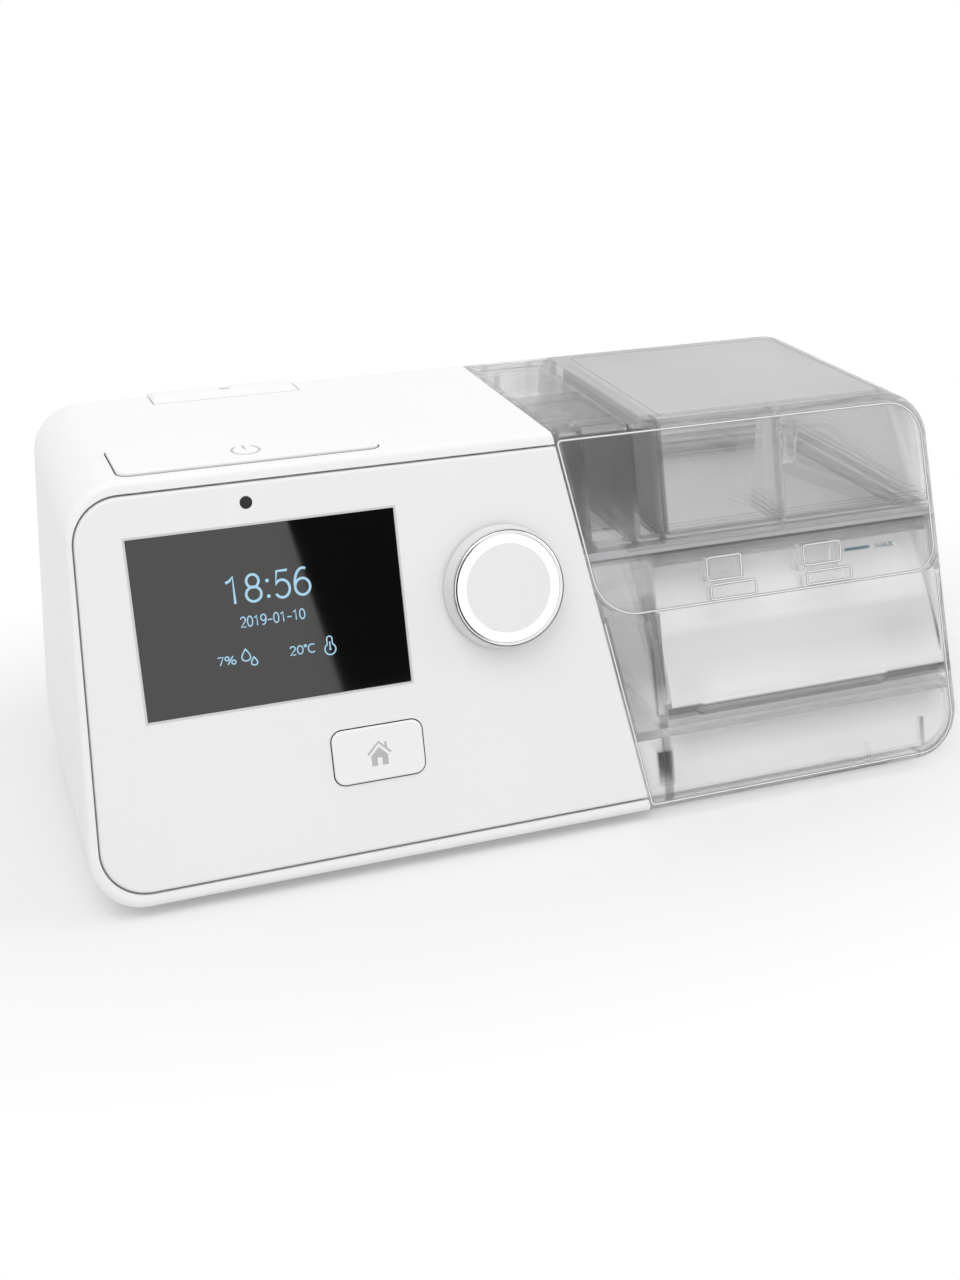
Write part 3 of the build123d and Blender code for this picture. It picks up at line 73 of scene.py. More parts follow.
# ---- keys ----
KEY_R = 3.0
GAP_SHADE_W = 0.33         # painted shade: dark plate in the gap around a key
GAP_SHADE_T = 0.2
GAP_SHADE_SINK = 0.12
HOME_X = -52.5
HOME_V = 27.0
HOME_W = 25.6
HOME_H = 15.0
HOME_FRONT_N = 0.7
HOUSE_X = -52.5
HOUSE_V = 26.7
HOUSE_LINE = 0.6
HOUSE_ROOF = ((-3.2, 0.15), (0.05, 3.35), (3.25, 0.15))
HOUSE_CHIMNEY = ((1.7, 1.9), (2.3, 1.3), (2.3, 3.15), (1.7, 3.15))
HOUSE_WALLS = (
    (-2.35, -3.15), (-0.65, -3.15), (-0.65, -1.0), (0.65, -1.0), (0.65, -3.15), (2.35, -3.15),
    (2.35, -0.35), (0.0, 1.9), (-2.35, -0.35))
POWER_X = -76.9         # across, and back from the foot of the face
POWER_Y = 45.5
POWER_W = 70.3
POWER_D = 22.6
POWER_PROUD = 1.0
POWER_ICON_Y = 42.1
POWER_ICON_R = 3.7
POWER_ICON_GAP = 35.0   # half the opening of the ring, in degrees
POWER_ICON_LINE = 0.62
POWER_BAR_LOW = 0.5     # ends of the bar in the ring; the upper one is past the ring
POWER_BAR_PAST = 0.2

# ---- knob and filter cover ----
SEAM_W = 0.3            # dark seams beside the knob's trim ring
SEAM_LIFT = 0.01
FINGER_X = -69.4        # finger slot of the filter cover, with painted shade on its floor
FINGER_BACK = 10.7      # from the cover's back
FINGER_W = 3.6
FINGER_D = 1.0
FINGER_MARGIN = 0.2     # its floor is this much wider on each side
FINGER_R = 0.4
FINGER_T = 0.2
FINGER_SINK = 1.0

# ---- front of the tank ----
TUB_FRONT_N = -2.6      # outer side of the tub's front wall under the flap
PARTITION_FOOT = 26.4   # left edge of the front, and how it leans
PARTITION_SLOPE = 0.182
TANK_RIGHT_FOOT = 133.0
TANK_RIGHT_SLOPE = 0.0587
TANK_LOW_V = -4.7
TANK_TOP_V = 107.6
CORNER_R = 14.0
SHARP_R = 1.0
FRONT_INSET = 2.5       # painted edge lines keep this far inside the rounded edge of the face
EDGE_INSET = 0.5
FLAP_LOW_V = 53.5
FLAP_RIGHT_R = 7.5
FLAP_GAP = 1.0          # the tub's painted edge line ends this far under the flap's edge
SNAP_R = 0.8
SNAP_WINDOWS = (        # name, and ranges across and up the face
    ("hook_left", (50.6, 61.6, 60.2, 66.9)),
    ("hook_right", (82.4, 94.7, 60.6, 66.6)),
    ("catch_left", (51.4, 66.0, 54.6, 58.9)),
    ("catch_right", (83.0, 98.0, 54.8, 58.6)),
)
TOP_PANEL = (           # corners across, back from the foot of the face, and their radius
    (41.5, 34.0, 1.5), (115.0, 34.0, 4.0), (113.0, 100.0, 4.0), (41.5, 100.0, 1.5))
# widths of the painted highlight and painted shade lines on the tank's edges
PAINTED_EDGE_LINE_W = 0.35
PAINTED_EDGE_SHADE_W = 0.75
LEVEL_LINE = ((97.2, 63.2), (105.8, 63.2))
LEVEL_LINE_W = 0.9
LEVEL_WORD = ("MAX", (107.9, 114.0), (62.2, 64.1), 0.4)

# ---- screen contents ----
SCREEN_WORDS = (        # name, characters, range across and up the face, stroke width
    ("screen_clock", "18:56", (-88.9, -65.8), (72.3, 80.1), 0.68),
    ("screen_date", "2019-01-10", (-85.9, -68.3), (66.1, 69.1), 0.34),
    ("screen_humidity", "7%", (-93.1, -88.1), (56.8, 59.3), 0.34),
    ("screen_warmth", "20oC", (-73.7, -66.7), (56.8, 59.4), 0.34),
)
ICON_LINE = 0.36
DROP_FULLNESS = 1.35
DROP_POINT = 1.4        # how fast a drop narrows to its tip
DROPS = (               # middle, half width and half height
    (-85.4, 58.9, 1.2, 1.6),
    (-83.35, 57.0, 0.85, 1.1),
)
THERMOMETER = (-62.6, 57.1, 1.5, 0.72, 60.6)    # bulb, its radius, half stem and top
MERCURY_R = 0.12

# ---- places in the frame ----
ACROSS = Vector((1.0, 0.0, 0.0))
UP_FACE = Vector((0.0, math.sin(math.radians(FACE_TILT)), math.cos(math.radians(FACE_TILT))))
OUT_OF_FACE = ACROSS.cross(UP_FACE)


def middle_of(node):
    low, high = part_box(node)
    return (Vector(low) + Vector(high)) / 2


FACE_FOOT = (
    middle_of("display_window")
    - WINDOW_X * MM * ACROSS
    - WINDOW_V * MM * UP_FACE
    - WINDOW_MIDDLE_N * MM * OUT_OF_FACE
)


def on_face(x, v, n):
    """Point in face coordinates (millimetres), in the frame."""
    return FACE_FOOT + MM * (x * ACROSS + v * UP_FACE + n * OUT_OF_FACE)


def matrix_of(right, up, out, place):
    """Matrix of a piece with the given axes and place."""
    matrix = Matrix((right, up, out)).transposed().to_4x4()
    matrix.translation = place
    return matrix


def face_matrix(x, v, n):
    """Frame of a flat piece on the face, with its own X across and Y up the slope."""
    return matrix_of(ACROSS, UP_FACE, OUT_OF_FACE, on_face(x, v, n))


# ================================ flat pieces ================================

ROUND_STEPS = 10        # steps of a rounded corner
STRAIGHT = 1.56         # half angle in radians from which a corner is left as it is
LINE_SIDES = 2          # bevel resolution of a stroke


def add_piece(name, mesh, matrix, material, body):
    """Places a mesh drawn in millimetres, and lets it ride on a body."""
    mesh.transform(matrix @ Matrix.Scale(MM, 4))
    mesh.materials.clear()
    mesh.materials.append(material)
    piece = bpy.data.objects.new(name, mesh)
    bpy.context.scene.collection.objects.link(piece)
    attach(piece, body)


def mesh_of(data):
    """Mesh of a curve."""
    holder = bpy.data.objects.new(data.name, data)
    mesh = bpy.data.meshes.new_from_object(holder)
    bpy.data.objects.remove(holder)
    return mesh


def add_spline(data, points, closed):
    """Adds straight lines through flat points to a curve."""
    spline = data.splines.new("POLY")
    spline.points.add(len(points) - 1)
    spline.use_cyclic_u = closed
    for point, (x, y) in zip(spline.points, points):
        point.co = (x, y, 0.0, 1.0)


def plate(name, loops, thickness=PRINT_T):
    """Thin plate from closed outlines; an outline inside another is a hole."""
    data = bpy.data.curves.new(name, "CURVE")
    data.dimensions = "2D"
    data.fill_mode = "BOTH"
    data.extrude = thickness / 2
    for loop in loops:
        add_spline(data, loop, True)
    return mesh_of(data)


def lines(name, paths, width, thickness=PRINT_T):
    """Flattened strokes of constant width along paths; a path is (points, closed)."""
    data = bpy.data.curves.new(name, "CURVE")
    data.dimensions = "3D"
    data.bevel_depth = width / 2
    data.bevel_resolution = LINE_SIDES
    data.use_fill_caps = True
    for points, closed in paths:
        add_spline(data, points, closed)
    mesh = mesh_of(data)
    mesh.transform(Matrix.Diagonal((1.0, 1.0, thickness / width, 1.0)))
    return mesh


def stroke(*points):
    """Open path through points."""
    return points, False


def arc(x, y, radius, start, end, steps=32):
    """Points on an arc, by angles in degrees."""
    angles = [math.radians(start + (end - start) * index / steps) for index in range(steps + 1)]
    return [(x + radius * math.cos(angle), y + radius * math.sin(angle)) for angle in angles]


def oval(x, y, half_width, half_height, start, end, steps=32):
    """Points on an ellipse, by angles in degrees."""
    return [(x + half_width * across, y + half_height * up)
            for across, up in arc(0.0, 0.0, 1.0, start, end, steps)]


def ring(x, y, half_width, half_height):
    """Closed path round an ellipse."""
    return oval(x, y, half_width, half_height, 0.0, 350.0, 35), True


def rounded(corners):
    """Points along straight lines between corners given as (x, y, radius)."""
    points = []
    count = len(corners)
    for index, (x, y, radius) in enumerate(corners):
        corner = Vector((x, y))
        before = (Vector(corners[index - 1][:2]) - corner).normalized()
        after = (Vector(corners[(index + 1) % count][:2]) - corner).normalized()
        half = before.angle(after) / 2
        if radius == 0 or half > STRAIGHT:
            points.append((x, y))
            continue
        start = corner + before * radius / math.tan(half)
        end = corner + after * radius / math.tan(half)
        middle = corner + (before + after).normalized() * radius / math.sin(half)
        turn = (start - middle).angle_signed(end - middle)
        for step_at in range(ROUND_STEPS + 1):
            point = start - middle
            point.rotate(Matrix.Rotation(-turn * step_at / ROUND_STEPS, 2))
            points.append(tuple(middle + point))
    return points


def rounded_box(x, y, half_width, half_height, radius):
    """Points round a box with rounded corners."""
    return rounded([(x + side_x * half_width, y + side_y * half_height, radius)
                    for side_x, side_y in ((1, 1), (-1, 1), (-1, -1), (1, -1))])


# ================================ lettering ================================

NEXT = 0.70             # from one digit to the next, for a height of 1

GLYPHS = {              # step to the next character, and paths from its lower left corner
    "0": (NEXT, [ring(0.28, 0.5, 0.26, 0.5)]),
    "1": (NEXT, [stroke((0.06, 0.80), (0.20, 0.86), (0.32, 1.0), (0.32, 0.0))]),
    "2": (NEXT, [stroke(*oval(0.28, 0.73, 0.24, 0.27, 170, -40), (0.03, 0.0), (0.55, 0.0))]),
    "5": (NEXT, [stroke((0.50, 1.0), (0.13, 1.0), (0.06, 0.50),
                        *oval(0.27, 0.33, 0.26, 0.33, 130, -150))]),
    "6": (NEXT, [ring(0.28, 0.31, 0.26, 0.31), stroke(*oval(0.33, 0.38, 0.31, 0.62, 180, 70))]),
    "7": (NEXT, [stroke((0.03, 1.0), (0.54, 1.0), (0.20, 0.0))]),
    "8": (NEXT, [ring(0.28, 0.76, 0.21, 0.24), ring(0.28, 0.27, 0.26, 0.27)]),
    "9": (NEXT, [ring(0.28, 0.69, 0.26, 0.31), stroke(*oval(0.23, 0.62, 0.31, 0.62, 0, -110))]),
    ":": (0.30, [ring(0.08, 0.12, 0.02, 0.02), ring(0.08, 0.70, 0.02, 0.02)]),
    "-": (0.62, [stroke((0.02, 0.40), (0.48, 0.40))]),
    "%": (1.10, [ring(0.20, 0.76, 0.19, 0.24), ring(0.80, 0.24, 0.19, 0.24),
                 stroke((0.78, 1.0), (0.22, 0.0))]),
    "o": (0.34, [ring(0.10, 0.90, 0.11, 0.11)]),
    "C": (0.75, [stroke(*oval(0.38, 0.5, 0.36, 0.5, 50, 310))]),
    "M": (0.95, [stroke((0.0, 0.0), (0.0, 1.0), (0.37, 0.2), (0.74, 1.0), (0.74, 0.0))]),
    "A": (0.85, [stroke((0.0, 0.0), (0.34, 1.0), (0.68, 0.0)), stroke((0.13, 0.35), (0.55, 0.35))]),
    "X": (0.75, [stroke((0.0, 0.0), (0.62, 1.0)), stroke((0.0, 1.0), (0.62, 0.0))]),
}


def word_paths(words, x_range, y_range, width):
    """Paths of a word whose strokes of a given width just fill the ranges."""
    paths = []
    start = 0.0
    for letter in words:
        step_on, strokes = GLYPHS[letter]
        paths += [([(start + x, y) for x, y in points], closed) for points, closed in strokes]
        start += step_on
    fits = []
    for axis, (low, high) in enumerate((x_range, y_range)):
        values = [point[axis] for points, _ in paths for point in points]
        scale = (high - low - width) / (max(values) - min(values))
        fits.append((min(values), scale, low + width / 2))
    (x0, x_scale, x_low), (y0, y_scale, y_low) = fits
    return [
        ([(x_low + (x - x0) * x_scale, y_low + (y - y0) * y_scale) for x, y in points], closed)
        for points, closed in paths
    ]


# ================================ nodes of materials ================================

EVEN = (1.0, 1.0, 1.0)
NOISE_RANGE = (0.25, 0.75)      # most of a noise lies in this range


def shader_of(material):
    return material.node_tree.nodes["Principled BSDF"]


def new_material(name, color, roughness, **sockets):
    """Principled material with constant values on its own sockets."""
    material = bpy.data.materials.new(name)
    material.use_nodes = True
    shader = shader_of(material)
    shader.inputs["Base Color"].default_value = (*color, 1.0)
    shader.inputs["Roughness"].default_value = roughness
    for socket, value in sockets.items():
        shader.inputs[socket.replace("_", " ")].default_value = value
    return material


def math_node(tree, operation, first, second):
    """Math node whose inputs are numbers or links."""
    node = tree.nodes.new("ShaderNodeMath")
    node.operation = operation
    for socket, value in zip(node.inputs, (first, second)):
        if isinstance(value, float):
            socket.default_value = value
        else:
            tree.links.new(value, socket)
    return node.outputs[0]


def vector_math(tree, operation, source, value=(0.0, 0.0, 0.0)):
    """Outputs of a vector math node on a link and a constant."""
    node = tree.nodes.new("ShaderNodeVectorMath")
    node.operation = operation
    node.inputs[1].default_value = value
    tree.links.new(source, node.inputs[0])
    return node.outputs


def map_range(tree, source, from_range, to_range=(0.0, 1.0)):
    """Maps a source from one range to another and keeps it there."""
    node = tree.nodes.new("ShaderNodeMapRange")
    sockets = ("From Min", "From Max", "To Min", "To Max")
    for socket, value in zip(sockets, (*from_range, *to_range)):
        node.inputs[socket].default_value = value
    tree.links.new(source, node.inputs["Value"])
    return node.outputs["Result"]


def noise(material, scale, detail=2.0, stretch=EVEN):
    """Noise in the object's own coordinates; the scale is in cells per metre."""
    tree = material.node_tree
    place = tree.nodes.new("ShaderNodeTexCoord")
    mapping = tree.nodes.new("ShaderNodeMapping")
    mapping.inputs["Scale"].default_value = stretch
    texture = tree.nodes.new("ShaderNodeTexNoise")
    texture.inputs["Scale"].default_value = scale
    texture.inputs["Detail"].default_value = detail
    tree.links.new(place.outputs["Object"], mapping.inputs["Vector"])
    tree.links.new(mapping.outputs["Vector"], texture.inputs["Vector"])
    return texture.outputs["Fac"]


def spread(material, source, low, high):
    """Maps a noise to a range."""
    return map_range(material.node_tree, source, NOISE_RANGE, (low, high))


def grain(material, scale, depth, stretch=EVEN):
    """Fine surface grain as bump; the depth is in metres."""
    tree = material.node_tree
    bump = tree.nodes.new("ShaderNodeBump")
    bump.inputs["Strength"].default_value = 1.0
    bump.inputs["Distance"].default_value = depth
    tree.links.new(noise(material, scale, stretch=stretch), bump.inputs["Height"])
    tree.links.new(bump.outputs["Normal"], shader_of(material).inputs["Normal"])
    return bump


def vary_roughness(material, scale, low, high):
    source = spread(material, noise(material, scale), low, high)
    material.node_tree.links.new(source, shader_of(material).inputs["Roughness"])


def vary_color(material, first, second):
    """Blends two close colours by a soft noise."""
    tree = material.node_tree
    mix = tree.nodes.new("ShaderNodeMix")
    mix.data_type = "RGBA"
    mix.inputs["A"].default_value = (*first, 1.0)
    mix.inputs["B"].default_value = (*second, 1.0)
    factor = spread(material, noise(material, COLOR_SCALE, COLOR_DETAIL), 0.0, 1.0)
    tree.links.new(factor, mix.inputs["Factor"])
    tree.links.new(mix.outputs["Result"], shader_of(material).inputs["Base Color"])


# ================================ plastics and metals ================================

COLOR_SCALE = 14.0      # colour drift of plastics: cells per metre, detail, and its darker colour
COLOR_DETAIL = 3.0
COLOR_DRIFT = 0.975
GLOSS_SCALE = 60.0      # uneven gloss of plastics: cells per metre, up and down
GLOSS_DRIFT = 0.04
GRAIN_SCALE = 2600.0    # grain of plastics: cells per metre, depth in metres
GRAIN_DEPTH = 0.000012
METAL_GLOSS_SCALE = 90.0
METAL_GLOSS_DRIFT = (0.8, 1.25)
METAL_GRAIN_SCALE = 1800.0
METAL_GRAIN_DEPTH = 0.000004
BRUSHED = (1.0, 30.0, 1.0)

PLASTICS = {            # colour, roughness, and where they differ the depth and scale of the grain
    "white_shell": ((0.91, 0.91, 0.915), 0.42),
    # the panel's white is taken darker than the shell's: painted shade of the face
    "white_panel": ((0.88, 0.88, 0.885), 0.36, 0.000008),
    "white_key": ((0.91, 0.91, 0.91), 0.34, 0.000006),
    # the tray's white is taken darker than the shell's: painted shade of the tray inside the tank
    "white_tray": ((0.80, 0.80, 0.805), 0.5),
    "screen": ((0.004, 0.004, 0.005), 0.3),
    "dark_plastic": ((0.02, 0.02, 0.022), 0.5),
    "sensor_black": ((0.004, 0.004, 0.004), 0.12, 0.0),
    "circuit_board": ((0.01, 0.09, 0.035), 0.4),
    "chip_black": ((0.012, 0.012, 0.012), 0.55),
    # the knob's white body is taken darker than its disc: painted shade on the knob's side
    "knob_white": ((0.74, 0.74, 0.745), 0.3, 0.000006),
    "knob_disc": ((0.86, 0.86, 0.86), 0.4, 0.000006),
    "blower_plastic": ((0.60, 0.59, 0.55), 0.5),
    "soft_silicone": ((0.62, 0.62, 0.64), 0.6),
    "grey_silicone": ((0.33, 0.34, 0.36), 0.55),
    "rubber_black": ((0.02, 0.02, 0.02), 0.75, 0.00002, 1200.0),
    "filter_foam": ((0.70, 0.72, 0.74), 0.95, 0.0003, 900.0),
    "seal_clear": ((0.48, 0.485, 0.50), 0.4, 0.0),
    "seam_grey": ((0.12, 0.12, 0.125), 0.4, 0.0),
    # painted shade and painted highlight lines on the edges of the clear tank
    "painted_edge_shade": ((0.27, 0.27, 0.28), 0.3, 0.0),
    "bead": ((0.96, 0.96, 0.96), 0.15, 0.0),
    "key_print": ((0.50, 0.50, 0.505), 0.45, 0.0),
    # painted shade in the gaps round the keys and on the floor of the finger slot
    "painted_recess_shade": ((0.02, 0.02, 0.02), 0.7, 0.0),
    "level_print": ((0.02, 0.13, 0.17), 0.5, 0.0),
    # painted shade of the window's bevel
    "window_painted_bevel_shade": ((0.66, 0.66, 0.665), 0.3, 0.0),
}
METALS = {              # colour, roughness, and stretch and depth of the grain
    "chrome_trim": ((0.86, 0.87, 0.88), 0.06, EVEN, 0.0),
    "bright_steel": ((0.86, 0.86, 0.865), 0.45, BRUSHED),
    "steel": ((0.55, 0.55, 0.56), 0.3, BRUSHED),
}
LIGHT_RING_COLOR = (0.95, 0.95, 0.95)
LIGHT_RING_GLOW = 0.25
GLASS_COLOR = (0.003, 0.003, 0.0035)
SCREEN_BLUE = (0.36, 0.62, 0.80)
SCREEN_OFF = (0.02, 0.02, 0.02)
FINISHES = {            # nodes that look different from their slot
    "tank_lid": "clear_lid",
    "tank_seal": "seal_clear",
    "tub_metal_base": "bright_steel",
}


def moulded(name, color, roughness, grain_depth=GRAIN_DEPTH, grain_scale=GRAIN_SCALE, **sockets):
    """Injection-moulded plastic: faint colour drift, fine spark grain and uneven gloss."""
    material = new_material(name, color, roughness, **sockets)
    vary_color(material, color, tuple(COLOR_DRIFT * part for part in color))
    vary_roughness(material, GLOSS_SCALE, roughness - GLOSS_DRIFT, roughness + GLOSS_DRIFT)
    grain(material, grain_scale, grain_depth)
    return material


def metal(name, color, roughness, stretch, depth=METAL_GRAIN_DEPTH):
    """Metal with brushed grain and uneven gloss."""
    material = new_material(name, color, roughness, Metallic=1.0)
    low, high = METAL_GLOSS_DRIFT
    vary_roughness(material, METAL_GLOSS_SCALE, roughness * low, roughness * high)
    grain(material, METAL_GRAIN_SCALE, depth, stretch)
    return material


def dark_glass(name):
    """Screen glass with a faint change of gloss."""
    material = new_material(name, GLASS_COLOR, 0.03, IOR=1.8)
    vary_roughness(material, 30.0, 0.02, 0.04)
    return material


def lit(name, color, strength):
    """Lit screen marks: the colour glows by itself, under glass of uneven gloss."""
    material = new_material(name, SCREEN_OFF, 0.3, Emission_Strength=strength)
    shader_of(material).inputs["Emission Color"].default_value = (*color, 1.0)
    vary_roughness(material, 60.0, 0.25, 0.35)
    return material


# ================================ clear plastic ================================

CLEAR_IOR = 1.45
POLISHED_DEPTH = 5.5    # plastic nearer to the face than this is polished, the rest is satin
POLISHED_LEFT = 36.0    # and so is all that lies left of this
POLISHED_TINT = 0.985
POLISHED_ROUGHNESS = 0.02
POLISHED_TRANSMISSION = 0.97
POLISHED_ALPHA = 0.72
ZONE_START = -9.0       # in front and left of all of the tank
ZONE_BLUR = 0.4
SATIN_GRAIN_SCALE = 1500.0
SATIN_GRAIN_DEPTH = 0.000008
CLOUD_SCALE = 22.0      # slow change of the tint
CLOUD_TINT = 0.93
STREAK_SCALE = 260.0    # upright streaks on the left
STREAK_SHAPE = (1.0, 0.06, 0.06)
STREAK_BOX = ((-20.0, 37.0), (79.0, 107.0), (2.4, 400.0))
STREAK_BLUR = 1.0
STREAK_STRENGTH = 0.3
SCOOP_FOOT_Z = 30.7     # back wall of the scoop: foot, slope and bend
SCOOP_FOOT_Y = 6.9
SCOOP_SLOPE = 0.5
SCOOP_BEND = 0.0047

# boxes on the tank, in millimetres: ranges across, in height, in depth, back from the foot of the
# face, and behind the scoop's back wall
SCOOP_BOX = ((34.6, 128.5), (31.0, 59.0))       # satin, though it is near to the face
PAINTED_SHADE_TUB = (           # painted shade: box, softness of its sides, strength
    (((31.6, 35.4), (29.0, 60.0), (1.0, 60.0), None, (-2.6, 3.0)), 0.5, 0.9),   # scoop's left edge
    (((127.4, 131.0), (29.0, 69.0), (1.0, 60.0), None, (-1.5, 2.0)), 0.4, 0.8),     # right edge
    (((32.4, 35.2), (4.0, 29.0), (1.0, 5.5)), 0.3, 0.8),        # rib below it
    (((34.5, 140.0), (28.2, 31.3), (-1.0, 25.0)), 0.3, 0.8),    # its ledge
    (((36.0, 126.0), (19.0, 28.0), (-1.0, 6.0)), 4.5, 0.45),    # below the ledge
    (((36.0, 127.0), (31.0, 50.0), (1.5, 60.0)), 1.0, 0.12),    # its back wall
    (((36.0, 48.0), (31.0, 37.0), (3.0, 60.0)), 4.0, 0.45),     # shade in its corners
    (((106.0, 124.0), (38.0, 45.0), (3.0, 60.0)), 5.0, 0.3),
    (((28.0, 125.0), (70.4, 70.9)), 0.15, 0.35),                # steps of the rim
    ((None, (72.3, 74.1)), 0.2, 0.55),
)
LID_INSIDE = (76.0, 107.0)
# painted shade on the lid: box, softness of its sides, strength
PAINTED_SHADE_LID = (
    (((36.0, 140.0), (107.5, 120.0), (3.0, 400.0)), 0.3, 0.2),  # satin top
    (((26.0, 126.0), (76.1, 76.7)), 0.15, 0.55),                # steps of the flange
    (((26.0, 126.0), (77.9, 78.5)), 0.15, 0.55),
    (((28.0, 126.0), (79.5, 80.0)), 0.15, 0.5),
    (((28.0, 126.0), (81.2, 81.6)), 0.15, 0.45),
    (((14.6, 16.6), LID_INSIDE, (2.4, 400.0)), 0.2, 0.6),       # ribs
    (((29.6, 31.6), LID_INSIDE, (2.4, 400.0)), 0.2, 0.6),
    (((38.4, 40.4), LID_INSIDE, (2.4, 400.0)), 0.2, 0.6),
    (((76.8, 78.8), LID_INSIDE, (2.4, 5.0)), 0.2, 0.5),
    (((-20.0, 30.0), (76.0, 120.0), None, (38.4, 40.4)), 0.2, 0.5),
    (((-20.0, 30.0), (76.0, 120.0), None, (63.2, 65.2)), 0.2, 0.5),
    (((42.0, 58.0), (88.0, 104.0), (20.0, 400.0)), 8.0, 0.1),   # soft shade inside
    (((96.0, 122.0), (76.0, 86.0), (12.0, 400.0)), 6.0, 0.25),
)


def place_on_tank(material):
    """Across, height, depth behind the face, way back, and way behind the scoop's back wall."""
    tree = material.node_tree
    place = tree.nodes.new("ShaderNodeTexCoord").outputs["Object"]
    from_foot = vector_math(tree, "SUBTRACT", place, FACE_FOOT)["Vector"]
    depth = vector_math(tree, "DOT_PRODUCT", from_foot, -OUT_OF_FACE)["Value"]
    split = tree.nodes.new("ShaderNodeSeparateXYZ")
    tree.links.new(place, split.inputs["Vector"])
    back = math_node(tree, "SUBTRACT", split.outputs["Y"], FACE_FOOT.y)
    above = math_node(tree, "SUBTRACT", split.outputs["Z"], SCOOP_FOOT_Z * MM)
    square = math_node(tree, "MULTIPLY", above, above)
    bent = math_node(tree, "MULTIPLY", square, SCOOP_BEND / MM)
    wall = math_node(tree, "ADD", math_node(tree, "MULTIPLY", above, SCOOP_SLOPE), bent)
    wall = math_node(tree, "ADD", wall, SCOOP_FOOT_Y * MM)
    behind = math_node(tree, "SUBTRACT", back, wall)
    return split.outputs["X"], split.outputs["Z"], depth, back, behind


def soft_box(tree, place, ranges, blur):
    """1 inside a box and 0 outside, soft at its sides; None leaves a direction open."""
    mask = 1.0
    for source, span in zip(place, ranges):
        if span is None:
            continue
        low, high = span
        for outer, inner in ((low - blur, low + blur), (high + blur, high - blur)):
            side = map_range(tree, source, (outer * MM, inner * MM))
            mask = math_node(tree, "MULTIPLY", side, mask)
    return mask


def polished_zone(tree, place, satin_box):
    """1 on the polished front and left of the tank, 0 on its satin walls and in a satin box."""
    front = soft_box(tree, place, (None, None, (ZONE_START, POLISHED_DEPTH)), ZONE_BLUR)
    if satin_box:
        satin = soft_box(tree, place, satin_box, ZONE_BLUR)
        front = math_node(tree, "MULTIPLY", front, math_node(tree, "SUBTRACT", 1.0, satin))
    left = soft_box(tree, place, ((ZONE_START, POLISHED_LEFT), None, None), ZONE_BLUR)
    return math_node(tree, "MAXIMUM", front, left)


def darkened(tree, tint, mask, strength):
    """A tint taken down by a strength where a mask is 1."""
    kept = math_node(tree, "SUBTRACT", 1.0, math_node(tree, "MULTIPLY", mask, strength))
    return math_node(tree, "MULTIPLY", tint, kept)


def streaks(material, place):
    """Mask of the upright streaks on the left of the tank."""
    tree = material.node_tree
    source = noise(material, STREAK_SCALE, 1.0, STREAK_SHAPE)
    source = math_node(tree, "SUBTRACT", 1.0, spread(material, source, 0.0, 1.0))
    return math_node(tree, "MULTIPLY", source, soft_box(tree, place, STREAK_BOX, STREAK_BLUR))


def clear_plastic(name, tint, roughness, transmission, painted_shades, satin_box=None):
    """Moulded polycarbonate: polished in front, satin inside, with painted shade darkening its
    edges, ribs, steps, ledge and corners.
    """
    material = new_material(name, (tint,) * 3, roughness,
                            Transmission_Weight=transmission, IOR=CLEAR_IOR)
    tree = material.node_tree
    inputs = shader_of(material).inputs
    place = place_on_tank(material)
    zone = polished_zone(tree, place, satin_box)
    shade = map_range(tree, zone, (0.0, 1.0), (tint, POLISHED_TINT))
    # painted shade in boxes on the tank
    for box, blur, strength in painted_shades:
        shade = darkened(tree, shade, soft_box(tree, place, box, blur), strength)
    clouds = spread(material, noise(material, CLOUD_SCALE, 1.0), CLOUD_TINT, 1.0)
    shade = math_node(tree, "MULTIPLY", shade, clouds)
    shade = darkened(tree, shade, streaks(material, place), STREAK_STRENGTH)
    color = tree.nodes.new("ShaderNodeCombineColor")
    for channel in color.inputs:
        tree.links.new(shade, channel)
    tree.links.new(color.outputs[0], inputs["Base Color"])
    bump = grain(material, SATIN_GRAIN_SCALE, SATIN_GRAIN_DEPTH)
    for socket, satin, polished in (
        (inputs["Roughness"], roughness, POLISHED_ROUGHNESS),
        (inputs["Transmission Weight"], transmission, POLISHED_TRANSMISSION),
        (inputs["Alpha"], 1.0, POLISHED_ALPHA),
        (bump.inputs["Strength"], 1.0, 0.0),
    ):
        tree.links.new(map_range(tree, zone, (0.0, 1.0), (satin, polished)), socket)
    return material


def make_materials():
    """Every material of the machine, by its name."""
    made = {name: moulded(name, *values) for name, values in PLASTICS.items()}
    made |= {name: metal(name, *values) for name, values in METALS.items()}
    made["light_ring"] = moulded(
        "light_ring", LIGHT_RING_COLOR, 0.35, 0.0, Emission_Strength=LIGHT_RING_GLOW)
    made["screen_glass"] = dark_glass("screen_glass")
    made["screen_light"] = lit("screen_light", SCREEN_BLUE, 1.0)
    made["clear_plastic"] = clear_plastic("clear_plastic", 0.93, 0.45, 0.3, PAINTED_SHADE_TUB, SCOOP_BOX)
    made["clear_lid"] = clear_plastic("clear_lid", 0.98, 0.55, 0.6, PAINTED_SHADE_LID)
    return made


def dress_nodes(materials):
    """Gives each CAD piece the material of its slot; clear ones cast no shadow."""
    slots = {row["node"]: row["material_slot"] for row in frame["record"]["subparts"]}
    for name, piece in frame["nodes"].items():
        piece.data.materials.clear()
        piece.data.materials.append(materials[FINISHES.get(name, slots[name])])
        piece.visible_shadow = slots[name] != "clear_plastic"


# ================================ screen, symbols and marks ================================

